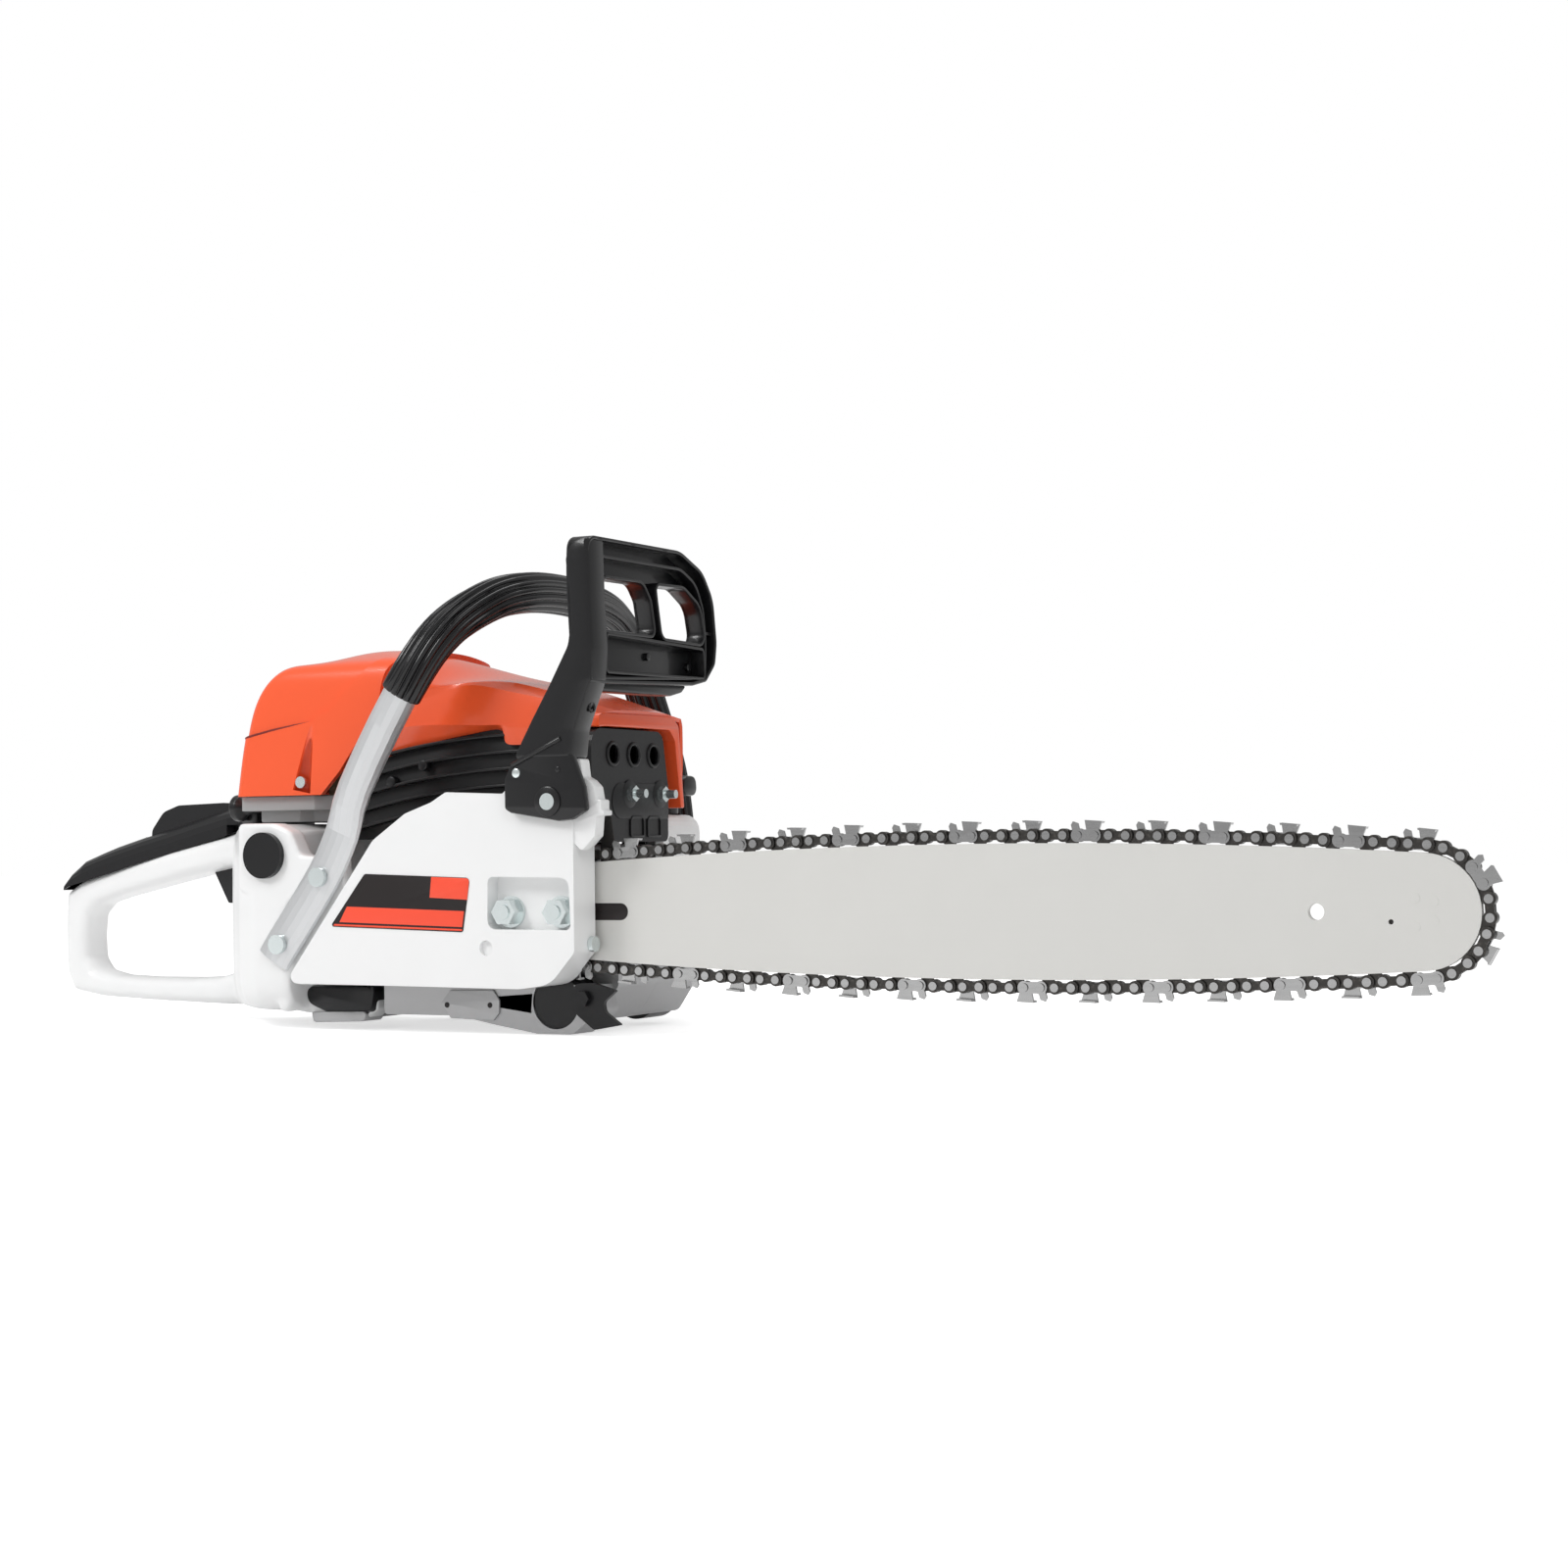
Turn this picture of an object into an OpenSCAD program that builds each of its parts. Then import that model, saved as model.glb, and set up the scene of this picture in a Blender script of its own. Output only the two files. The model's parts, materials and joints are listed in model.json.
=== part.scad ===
// Petrol chainsaw. X points along the bar to its tip, Y to the starter side, Z up.
// X = 0 is the crankshaft axis, Y = 0 the engine's middle plane and Z = 0 the ground.

/* [Bar and chain] */
// Distance between neighbouring chain rivets, half of two pitches of 0.325 inch
chain_pitch = 8.255; // [8:0.005:8.5]
// Thickness of a drive link, the chain gauge
chain_gauge = 1.47; // [1.27:0.01:1.6]
// Distance from the crankshaft axis to the axis of the nose sprocket
nose_x = 547.5; // [450:0.5:600]
// Distance from the crankshaft axis to the widest place of the bar
belly_x = 332.5; // [280:0.5:360]
// Half width of the chain's rivet line at the widest place
belly_half = 38.1; // [34:0.1:44]
// Distance from the crankshaft axis to the end of the curved rail
tail_x = 67.5; // [60:0.5:75]
// Teeth of the drive sprocket
drive_teeth = 7; // [6:1:8]
// Teeth of the nose sprocket
nose_teeth = 12; // [10:1:13]
// Height of the rivet line over the bar's rail
rail_gap = 3.9; // [3.5:0.1:4.5]
// Reach of a drive link's tang below the rivet line
tang_reach = 7.2; // [6.5:0.1:7.6]
// Thickness of one tie strap or cutter
strap_t = 1.5; // [1.2:0.05:1.8]
// Thickness of the guide bar
bar_t = 4.5; // [4:0.1:5]
// Y of the middle plane of the bar
bar_y = -67; // [-68:0.1:-66]
// Height of a cutter's top plate over the rivet line
cutter_h = 7.6; // [6.5:0.1:8.5]

/* [Engine] */
// Height of the crankshaft axis over the ground
crank_z = 67.5; // [66:0.5:70]
// Cylinder bore
bore_d = 45; // [40:0.5:46]
// Piston stroke
stroke = 32.5; // [28:0.5:34]
// Length of the connecting rod between its pins
rod_len = 58; // [56:0.5:60]
// Crank angle past top dead centre at which the engine stands
crank_angle = 60; // [40:1:80]
// Height of the crankcase deck that the cylinder stands on
deck_z = 104; // [103:0.5:106]
// Height of the cylinder over the deck
cylinder_h = 66; // [64:0.5:68]
// Distance between two cooling fins
fin_pitch = 7.5; // [6:0.5:9]
// Outer radius of the flywheel
flywheel_r = 42; // [38:0.5:44]
// Outer radius of the clutch drum
drum_r = 33; // [30:0.5:34]
// Running gap between a turning piece and what it turns on
run_gap = 0.05; // [0.02:0.01:0.09]

/* [Housings] */
// Wall of the white plastic covers
wall = 3; // [2:0.1:3.5]
// Y of the outer face of the side cover
cover_y = -94.5; // [-98:0.5:-93]
// Depth of the nut pocket in the side cover
pocket_d = 10; // [8:0.5:12]
// X of the front face of the side cover
cover_front = 99.5; // [98:0.5:103]
// Y of the outer face of the starter housing
starter_y = 90; // [88:0.5:94]
// Wall of the orange covers
hood_wall = 2.5; // [2:0.1:3]

/* [Handles] */
// Radius of the front handle's tube
tube_r = 10; // [8:0.25:11]
// Thickness of the ribbed sleeve on the tube
sleeve_t = 1.9; // [1.4:0.1:2.5]
// Width of the rear grip
grip_w = 30; // [26:0.5:32]
// Thickness of the hand guard's ribs
guard_rib = 3; // [2:0.1:4]
// Radius of the hand guard's pivot pin
guard_pin_r = 4.5; // [3:0.1:5]

/* [Hidden] */

// ---- Helpers ----
function unit(v) = v / norm(v);
function mix(a, b, f) = a + (b - a) * f;

// Corners of a polygon cut to arcs; each entry of corners is [x, y, radius].
function rounded(corners, steps = 5) = [for (i = [0:len(corners) - 1])
    let (p = [corners[i][0], corners[i][1]], r = corners[i][2],
         before = corners[(i + len(corners) - 1) % len(corners)],
         after = corners[(i + 1) % len(corners)],
         u = unit([before[0], before[1]] - p), v = unit([after[0], after[1]] - p),
         half = acos(max(-1, min(1, u * v))) / 2,
         centre = p + unit(u + v) * r / sin(half),
         from = p + u * r / tan(half) - centre, to = p + v * r / tan(half) - centre,
         sweep = 180 - 2 * half)
    each r < 0.05 || sweep < 1 ? [p] : [for (k = [0:steps]) let (f = k / steps)
        centre + (from * sin((1 - f) * sweep) + to * sin(f * sweep)) / sin(sweep)]];

// A flat shape in X and Z, extruded along Y from y0 to y1.
module along_y(y0, y1) {
    translate([0, y1, 0]) rotate([90, 0, 0]) linear_extrude(y1 - y0) children();
}
// A flat shape in Y and Z, extruded along X from x0 to x1.
module along_x(x0, x1) {
    translate([x0, 0, 0]) rotate([90, 0, 90]) linear_extrude(x1 - x0) children();
}
module rod_y(r, y0, y1, x, z) {
    translate([x, y1, z]) rotate([90, 0, 0]) cylinder(r = r, h = y1 - y0, $fn = 48);
}
module rod_x(r, x0, x1, y, z) {
    translate([x0, y, z]) rotate([0, 90, 0]) cylinder(r = r, h = x1 - x0, $fn = 48);
}
module rod_z(r, z0, z1, x, y) {
    translate([x, y, z0]) cylinder(r = r, h = z1 - z0, $fn = 48);
}
module box(low, high) {
    translate(low) cube(high - low);
}
module hex_y(across, y0, y1, x, z) {
    translate([x, y1, z]) rotate([90, 0, 0]) cylinder(d = across / cos(30), h = y1 - y0, $fn = 6);
}
module ring_y(outer, inner, y0, y1, x, z) {
    difference() {
        rod_y(outer, y0, y1, x, z);
        rod_y(inner, y0 - 1, y1 + 1, x, z);
    }
}

// Closed solid through rings of points that all have the same number of points.
module skin(rings, loop = false) {
    n = len(rings[0]);
    m = len(rings);
    last = loop ? m - 1 : m - 2;
    sides = [for (k = [0:last], i = [0:n - 1]) let (a = k * n + i, b = k * n + (i + 1) % n,
        c = ((k + 1) % m) * n + (i + 1) % n, d = ((k + 1) % m) * n + i) each [[a, c, b], [a, d, c]]];
    caps = loop ? [] : [[for (i = [0:n - 1]) i], [for (i = [n - 1:-1:0]) (m - 1) * n + i]];
    polyhedron(points = [for (r = rings) each r], faces = concat(sides, caps), convexity = 6);
}
// One coordinate of a smooth curve through four values, between the second and the third.
function spline(a, b, c, d, f) = 0.5 * (2 * b + (c - a) * f + (2 * a - 5 * b + 4 * c - d) * f * f
    + (3 * b - a - 3 * c + d) * f * f * f);
// A smooth curve through points, with the given number of steps between two of them.
function curve(points, steps) = let (last = len(points) - 1)
    [for (i = [0:last - 1], k = [0:steps - 1])
        spline(points[max(i - 1, 0)], points[i], points[i + 1], points[min(i + 2, last)], k / steps),
     points[last]];
function heading(path, i) = unit(path[min(i + 1, len(path) - 1)] - path[max(i - 1, 0)]);
// A ring round a path point; side lies across both the path and the given direction.
function ring(centre, along, across, a, b, n) = let (side = unit(cross(along, across)),
    up = cross(along, side)) [for (i = [0:n - 1])
        centre + side * a * cos(360 * i / n) + up * b * sin(360 * i / n)];
// A rounded rectangle in Y and Z at one X; power sets how square it is.
function squircle(x, y0, y1, z0, z1, power, n) = [for (i = [0:n - 1])
    let (t = 360 * i / n, c = cos(t), s = sin(t))
    [x, (y0 + y1) / 2 + (y1 - y0) / 2 * sign(c) * pow(abs(c), 2 / power),
     (z0 + z1) / 2 + (z1 - z0) / 2 * sign(s) * pow(abs(s), 2 / power)]];

// ---- Chain path ----
// All path points are [x, height over the bar's middle line].
sprocket_r = chain_pitch / (2 * sin(90 / drive_teeth));
nose_r = chain_pitch / (2 * sin(90 / nose_teeth));
nose_d = nose_x - belly_x;
belly_r = (nose_d * nose_d + belly_half * belly_half - nose_r * nose_r) / (2 * (belly_half - nose_r));
function belly_z(x) = belly_half - belly_r + sqrt(belly_r * belly_r - pow(x - belly_x, 2));
join = [tail_x, belly_z(tail_x)];
tail_slope = atan2(join[1], join[0]) - asin(sprocket_r / norm(join));
top_start = sprocket_r * [-sin(tail_slope), cos(tail_slope)];
tail_len = norm(join - top_start);
belly_from = asin((tail_x - belly_x) / belly_r);
belly_to = atan2(nose_d, belly_r - belly_half);
belly_len = belly_r * (belly_to - belly_from) * PI / 180;
run_len = tail_len + belly_len;
nose_len = nose_r * (180 - 2 * belly_to) * PI / 180;
back_len = sprocket_r * (180 - 2 * tail_slope) * PI / 180;
loop_len = 2 * run_len + nose_len + back_len;
link_pairs = round(loop_len / (2 * chain_pitch));
pitch = loop_len / (2 * link_pairs);
function top_run(s) = s < tail_len ? mix(top_start, join, s / tail_len)
    : let (a = belly_from + (s - tail_len) / belly_r * 180 / PI)
        [belly_x + belly_r * sin(a), belly_half - belly_r + belly_r * cos(a)];
function chain_at(s) = s < run_len ? top_run(s)
    : s < run_len + nose_len ? let (a = 90 - belly_to - (s - run_len) / nose_r * 180 / PI)
        [nose_x + nose_r * cos(a), nose_r * sin(a)]
    : s < 2 * run_len + nose_len ? let (p = top_run(2 * run_len + nose_len - s)) [p[0], -p[1]]
    : let (a = -90 - tail_slope - (s - 2 * run_len - nose_len) / sprocket_r * 180 / PI)
        sprocket_r * [cos(a), sin(a)];
// Straps are a little longer than drive links, so rivets stand in pairs.
pair_shift = 0.319;
chain_phase = 33.69;
function rivet_s(i) = let (s = chain_phase + i * pitch + (i % 2 == 0 ? -1 : 1) * pair_shift)
    s >= loop_len ? s - loop_len : s;
rivets = [for (i = [0:2 * link_pairs - 1]) chain_at(rivet_s(i))];
rivet_r = 1.3;
rivet_head_r = 2.2;
link_play = 0.06;
strap_near = bar_y - chain_gauge / 2 - link_play - strap_t;
strap_far = bar_y + chain_gauge / 2 + link_play;

// Draws a link's flat shape, given along X round its middle, between rivets i and i + 1.
// The shape may use $half, half the distance between the link's two rivets.
module link_at(i, y0, thickness) {
    a = rivets[i];
    b = rivets[(i + 1) % len(rivets)];
    $half = norm(b - a) / 2;
    translate([(a[0] + b[0]) / 2, y0 + thickness, crank_z + (a[1] + b[1]) / 2])
        rotate([90, 0, 0]) rotate([0, 0, atan2(b[1] - a[1], b[0] - a[0])])
            linear_extrude(thickness) difference() {
                children();
                for (side = [-1, 1])
                    translate([side * $half, 0]) circle(r = rivet_r + run_gap, $fn = 24);
            }
}

// ---- Chain ----
eye_r = 3.4;
waist_h = 4.4;
module two_eyes(waist) {
    for (side = [-1, 1])
        translate([side * $half, 0]) circle(r = eye_r, $fn = 24);
    square([2 * $half, waist], center = true);
}
module drive_links() color([0.25, 0.25, 0.26])
    for (i = [1:2:len(rivets) - 1])
        link_at(i, bar_y - chain_gauge / 2, chain_gauge) {
            union() {
                two_eyes(waist_h + 1);
                polygon([[-$half - 1.2, -1], [-2.4, -0.6 * tang_reach], [-0.6, -tang_reach],
                    [0.8, -tang_reach], [$half + 1.6, -1]]);
            }
        }
// A strap stands at every place that has no cutter: near side and far side.
function near_cutter(i) = i % 8 == 2;
function far_cutter(i) = i % 8 == 6;
module tie_straps() color([0.28, 0.28, 0.3])
    for (i = [0:2:len(rivets) - 2]) {
        if (!near_cutter(i))
            link_at(i, strap_near, strap_t) two_eyes(waist_h);
        if (!far_cutter(i))
            link_at(i, strap_far, strap_t) two_eyes(waist_h);
    }
// A cutter is a strap with a depth gauge at one end and a bent top plate at the other.
plate_w = 4;
plate_t = 1.1;
module cutter_side() {
    two_eyes(waist_h + 1.4);
    polygon([[-$half - 2.2, 0.5], [-$half - 3.4, cutter_h - 2.4], [-$half - 2.4, cutter_h - 0.7],
        [-$half + 0.2, cutter_h - 1.6], [-$half + 1, 3], [-$half + 2.4, 2]]);
    polygon([[0.4, 2], [-0.6, cutter_h], [$half + 4, cutter_h - 0.5], [$half + 1.5, 0]]);
}
// The bent top plate reaches over the chain from the side plate, on the given side of it.
module cutter_plate(i, y0) {
    link_at(i, y0, plate_w)
        polygon([[-0.2, cutter_h - plate_t], [-0.45, cutter_h - 0.1], [$half + 3.8, cutter_h - 0.6],
            [$half + 3.4, cutter_h - 0.5 - plate_t]]);
}
module cutters() color([0.72, 0.72, 0.73])
    for (i = [0:2:len(rivets) - 2]) {
        if (near_cutter(i)) {
            link_at(i, strap_near, strap_t) cutter_side();
            cutter_plate(i, strap_near + strap_t - 0.3);
        }
        if (far_cutter(i)) {
            link_at(i, strap_far, strap_t) cutter_side();
            cutter_plate(i, strap_far + 0.3 - plate_w);
        }
    }
rivet_head_h = 0.9;
module chain_rivets() color([0.75, 0.75, 0.77])
    for (p = rivets) {
        low = strap_near - link_play;
        high = strap_far + strap_t + link_play;
        rod_y(rivet_r, low - 0.1, high + 0.1, p[0], crank_z + p[1]);
        rod_y(rivet_head_r, low - rivet_head_h, low, p[0], crank_z + p[1]);
        rod_y(rivet_head_r, high, high + rivet_head_h, p[0], crank_z + p[1]);
    }

// ---- Guide bar ----
groove_w = chain_gauge + 0.12;
groove_d = tang_reach - rail_gap + 1.2;
nose_edge_r = nose_r - rail_gap;
bar_tail_x = 40;
slot_end = [53, 104.6];
slot_h = 8.6;
// Outline of the bar, drawn in by the given depth from the rail.
module bar_outline(depth) {
    steps = 24;
    top = [for (k = [0:steps]) let (a = mix(belly_from, belly_to, k / steps), r = belly_r - rail_gap - depth)
        [belly_x + r * sin(a), belly_half - belly_r + r * cos(a)]];
    nose = [for (k = [1:23]) let (a = mix(90 - belly_to, belly_to - 90, k / 24), r = nose_edge_r - depth)
        [nose_x + r * cos(a), r * sin(a)]];
    tail_h = top[0][1] - (tail_x - bar_tail_x) * tan(tail_slope);
    round_r = 9 - min(depth, 8);
    tail = rounded([[bar_tail_x + depth, -tail_h, round_r], [bar_tail_x + depth, tail_h, round_r],
        [top[0][0], top[0][1], 0], [top[0][0], -top[0][1], 0]]);
    polygon(concat([for (p = tail) if (p[0] < tail_x - 0.5) p], top, nose,
        [for (k = [steps:-1:0]) [top[k][0], -top[k][1]]]));
}
module bar_slot() {
    translate([slot_end[0], -slot_h / 2]) square([slot_end[1] - slot_end[0], slot_h]);
    for (x = slot_end)
        translate([x, 0]) circle(d = slot_h, $fn = 32);
}
tip_hole_x = 496.8;
tip_hole_r = 4;
bar_rivet_places = [[544.1, 6.6], [552.9, 5], [544.1, -7.1], [553, -4.4]];
bar_rivet_r = 2.4;
module bar_holes() {
    bar_slot();
    translate([tip_hole_x, 0]) circle(r = tip_hole_r, $fn = 32);
    translate([532.7, -4.7]) circle(r = 1.25, $fn = 24);
    for (z = [-17, 17])
        translate([61, z]) circle(r = 3, $fn = 32);
}
nose_hub_r = 13.5;
module guide_bar() color([0.86, 0.86, 0.84])
    translate([0, 0, crank_z]) difference() {
        union() {
            for (y = [bar_y - bar_t / 2, bar_y + groove_w / 2])
                along_y(y, y + (bar_t - groove_w) / 2) difference() {
                    bar_outline(0);
                    bar_holes();
                }
            along_y(bar_y - groove_w / 2, bar_y + groove_w / 2) difference() {
                bar_outline(groove_d);
                bar_holes();
                translate([nose_x, 0]) circle(r = nose_edge_r + 0.5, $fn = 64);
            }
            along_y(bar_y - groove_w / 2, bar_y + groove_w / 2)
                translate([nose_x, 0]) circle(r = nose_hub_r, $fn = 48);
        }
        for (p = bar_rivet_places)
            rod_y(bar_rivet_r, bar_y - bar_t, bar_y + bar_t, p[0], p[1]);
    }
module bar_rivets() color([0.7, 0.7, 0.72])
    for (p = bar_rivet_places)
        rod_y(bar_rivet_r, bar_y - bar_t / 2 - 0.15, bar_y + bar_t / 2 + 0.15, p[0], crank_z + p[1]);
// Teeth of a sprocket stand between the tangs of the drive links that lie on it.
module star(teeth, root_r, tip_r, root_w, tip_w, phase) {
    circle(r = root_r, $fn = 64);
    for (k = [0:teeth - 1])
        rotate([0, 0, phase + k * 360 / teeth])
            polygon([[0, -root_w / 2], [tip_r, -tip_w / 2], [tip_r, tip_w / 2], [0, root_w / 2]]);
}
function tang_angle(i, x) = let (p = (rivets[i] + rivets[(i + 1) % len(rivets)]) / 2)
    atan2(p[1], p[0] - x);
// The drive link nearest to the nose's tip and the one nearest to the sprocket's back.
function link_near(s) = 2 * round((s - chain_phase) / (2 * pitch) - 0.75) + 1;
nose_link = link_near(run_len + nose_len / 2);
back_link = link_near(loop_len - back_len / 2);
module nose_sprocket() color([0.55, 0.55, 0.57])
    translate([nose_x, 0, crank_z]) along_y(bar_y - chain_gauge / 2 + 0.1, bar_y + chain_gauge / 2 - 0.1)
        difference() {
            star(nose_teeth, nose_r - tang_reach - 0.6, nose_edge_r - 0.9, 8, 3,
                tang_angle(nose_link, nose_x) + 180 / nose_teeth);
            circle(r = nose_hub_r + run_gap, $fn = 48);
        }

// ---- Crank drive ----
crank_r = stroke / 2;
shaft_r = 7.5;
pto_r = 6;
web_r = 28;
web_y = [5.3, 15.3];
bearing_r = 17.5;
bearing_y = [17, 28];
case_y = [-44, 46];
pin_r = 8;
wrist_r = 6;
pin_x = crank_r * sin(crank_angle);
pin_z = crank_z + crank_r * cos(crank_angle);
wrist_z = pin_z + sqrt(rod_len * rod_len - pin_x * pin_x);
rod_side = 4.6;
drum_y = [-87, -71];
module web(y0, y1) {
    difference() {
        rod_y(web_r, y0, y1, 0, crank_z);
        for (side = [-1, 1])
            translate([0, 0, crank_z]) rotate([0, crank_angle, 0])
                box([side * 12 + (side < 0 ? -30 : 0), y0 - 1, 4],
                    [side * 12 + (side < 0 ? 0 : 30), y1 + 1, 40]);
    }
}
// Gap between the shaft and what is seated on it.
seat_gap = 0.02;
module crankshaft() color([0.6, 0.6, 0.62]) {
    web(-web_y[1], -web_y[0]);
    web(web_y[0], web_y[1]);
    rod_y(shaft_r, -59, -web_y[1] + 0.1, 0, crank_z);
    rod_y(pto_r, -91, -59 + 0.1, 0, crank_z);
    rod_y(shaft_r, web_y[1] - 0.1, 70, 0, crank_z);
}
module crank_bearings() color([0.65, 0.65, 0.67])
    for (y = [-bearing_y[1], bearing_y[0]])
        ring_y(bearing_r, shaft_r + run_gap, y, y + bearing_y[1] - bearing_y[0], 0, crank_z);
module rod_pins() color([0.6, 0.6, 0.62]) {
    rod_y(pin_r, -web_y[0] + 0.3, web_y[0] - 0.3, pin_x, pin_z);
    rod_y(wrist_r, -17, 17, 0, wrist_z);
}
module connecting_rod() color([0.55, 0.55, 0.57])
    difference() {
        union() {
            rod_y(13, -rod_side, rod_side, pin_x, pin_z);
            rod_y(9.5, -rod_side, rod_side, 0, wrist_z);
            translate([pin_x, 0, pin_z]) rotate([0, -asin(pin_x / rod_len), 0])
                box([-5, -3, 0], [5, 3, rod_len]);
        }
        rod_y(pin_r + run_gap, -9, 9, pin_x, pin_z);
        rod_y(wrist_r + run_gap, -9, 9, 0, wrist_z);
    }
crown_h = 15.5;
skirt_h = 15;
module piston() color([0.78, 0.78, 0.8])
    difference() {
        rod_z(bore_d / 2 - run_gap, wrist_z - skirt_h, wrist_z + crown_h, 0, 0);
        rod_z(bore_d / 2 - 4, wrist_z - skirt_h - 1, wrist_z + crown_h - 4.5, 0, 0);
        for (z = [4, 8])
            translate([0, 0, wrist_z + crown_h - z]) difference() {
                cylinder(r = bore_d / 2 + 1, h = 1.4, $fn = 64);
                cylinder(r = bore_d / 2 - 1.2, h = 1.4, $fn = 64);
            }
        rod_y(wrist_r + 0.02, -30, 30, 0, wrist_z);
    }
fin_x = 48;
fin_y = 42;
head_z = deck_z + cylinder_h;
port_z = deck_z + 28;
head_top_z = crank_z + crank_r + rod_len + crown_h + 1.5;
module cylinder_block() {
    rod_z(30, deck_z, head_z, 0, 0);
    box([-fin_y + 6, -32, deck_z], [fin_y - 6, 32, deck_z + 6]);
    for (z = [deck_z + 9:fin_pitch:head_z])
        translate([0, 0, z]) linear_extrude(2.2) polygon(rounded([[-fin_x, -fin_y, 8],
            [fin_x, -fin_y, 8], [fin_x, fin_y, 8], [-fin_x, fin_y, 8]]));
    box([25, -16, port_z - 13], [57.5, 16, port_z + 13]);
    box([-57.5, -16, port_z - 13], [-25, 16, port_z + 13]);
}
module engine_cylinder() color([0.13, 0.13, 0.14])
    difference() {
        cylinder_block();
        rod_z(bore_d / 2, deck_z - 1, head_top_z, 0, 0);
        rod_z(7, head_top_z - 1, head_z + 1, 0, 0);
        rod_z(13, head_z - 4, head_z + 8, 0, 0);
        for (side = [-1, 1])
            rod_x(9, side > 0 ? 20 : -60, side > 0 ? 60 : -20, 0, port_z);
        for (x = [-28, 28], y = [-26, 26])
            rod_z(2.5, deck_z - 1, deck_z + 8, x, y);
    }
module spark_plug() color([0.85, 0.85, 0.83]) {
    rod_z(6.95, head_top_z, head_z - 4, 0, 0);
    translate([0, 0, head_z - 3.98]) cylinder(d = 19 / cos(30), h = 7, $fn = 6);
    rod_z(6, head_z + 3, head_z + 9, 0, 0);
}
lead_r = 3;
lead_end = [36, 50.8];
coil_z = [crank_z + 39, crank_z + 49.4];
lead_path = curve([[0, 9, head_z + 15], [9, 27, head_z + 13], [26, 44, head_z + 5],
    [lead_end[0], 46.3, head_z - 18], [lead_end[0], 48, head_z - 32],
    [lead_end[0], lead_end[1], coil_z[1] + 9],
    [lead_end[0], lead_end[1], coil_z[1] + 0.3]], 3);
module plug_lead() color([0.1, 0.1, 0.1])
    difference() {
        union() {
            rod_z(11, head_z + 4, head_z + 20, 0, 0);
            skin([for (i = [0:len(lead_path) - 1])
                ring(lead_path[i], heading(lead_path, i), [1, 0, 0], lead_r, lead_r, 8)]);
        }
        rod_z(6.05, head_z + 3, head_z + 9.1, 0, 0);
    }
module ignition_coil() color([0.15, 0.15, 0.16])
    difference() {
        union() {
            box([16, 50, coil_z[0]], [52, 64, coil_z[1]]);
            for (x = [14, 44])
                box([x, 51, crank_z + 36], [x + 9, 63, coil_z[1] - 2]);
        }
        rod_y(flywheel_r + 0.6, 40, 80, 0, crank_z);
    }
module flywheel() color([0.5, 0.5, 0.52]) {
    difference() {
        union() {
            rod_y(flywheel_r, 50, 57, 0, crank_z);
            rod_y(13, 50, 66, 0, crank_z);
            for (a = [0:30:330])
                translate([0, 0, crank_z]) rotate([0, a, 0]) translate([12, 56.9, -1])
                    cube([flywheel_r - 17, 8, 2]);
        }
        rod_y(shaft_r + seat_gap, 40, 80, 0, crank_z);
    }
    difference() {
        hex_y(19, 66.05, 70, 0, crank_z);
        rod_y(shaft_r + seat_gap, 60, 80, 0, crank_z);
    }
}

// ---- Crankcase ----
case_low = 9;
case_front_x = 97;
// Side outline of the crankcase; its underside rises a little to the rear.
case_outline = rounded([[-70, deck_z, 6], [-92, 60, 12], [-78, case_low, 4], [6, case_low, 2],
    [30, 4.5, 3], [66, 4.5, 3], [84, 7, 6], [case_front_x, 26, 6], [case_front_x, 46, 4],
    [72, 62, 8], [56, deck_z, 4]], 4);
buffer_front = [70, 17.5];
buffer_rear = [-66, 20];
buffer_r = 14.5;
module case_bores(y0, y1, seat0, seat1, web0, web1) {
    rod_y(shaft_r + 1, y0 - 1, y1 + 1, 0, crank_z);
    rod_y(bearing_r + 0.02, seat0, seat1, 0, crank_z);
    rod_y(web_r + 2, web0, web1, 0, crank_z);
    rod_z(bore_d / 2, crank_z, deck_z + 1, 0, 0);
    // The hollow behind the crank chamber.
    along_y(max(y0 + wall + 1.5, -60), min(y1 - wall - 1.5, 60)) polygon(rounded([[-84, 60, 8],
        [-76, 40, 6], [-48, 40, 6], [-48, deck_z - 8, 6], [-68, deck_z - 8, 6]]));
    for (p = [buffer_front, buffer_rear])
        rod_y(buffer_r + 0.3, y0 < 0 ? y0 - 40 : 20, y0 < 0 ? -20 : y1 + 10, p[0], p[1]);
    for (x = [-28, 28], y = [-26, 26])
        rod_z(2.5, deck_z - 14, deck_z + 1, x, y);
}
pad_y = bar_y + bar_t / 2 + 0.85;
stud_x = [54.2, 86.6];
stud_r = 4;
skid = [[-6, 50], [0, 22]];
bumper_bolt = [90, 20];
module crankcase_right() color([0.66, 0.66, 0.67])
    difference() {
        union() {
            along_y(case_y[0], -0.05) polygon(case_outline);
            along_y(-66, case_y[0] + 0.1) polygon(rounded([[-44, 27, 0], [-44, case_low, 2],
                [6, case_low, 2], [30, 4.5, 3], [58, 0, 3], [80, 0, 4], [case_front_x, 12, 4],
                [case_front_x - 4, 27, 0]], 4));
            along_y(pad_y, case_y[0] + 0.1) polygon(rounded([[38, crank_z - 22, 6],
                [96, crank_z - 22, 6], [96, crank_z + 22, 6], [38, crank_z + 22, 6]], 4));
        }
        case_bores(case_y[0], 0, -bearing_y[1] - 0.1, -16, -16.5, 1);
        for (x = stud_x)
            rod_y(stud_r, -90, -34, x, crank_z);
        rod_y(2.6, -70, -45, bumper_bolt[0], bumper_bolt[1]);
    }
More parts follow.
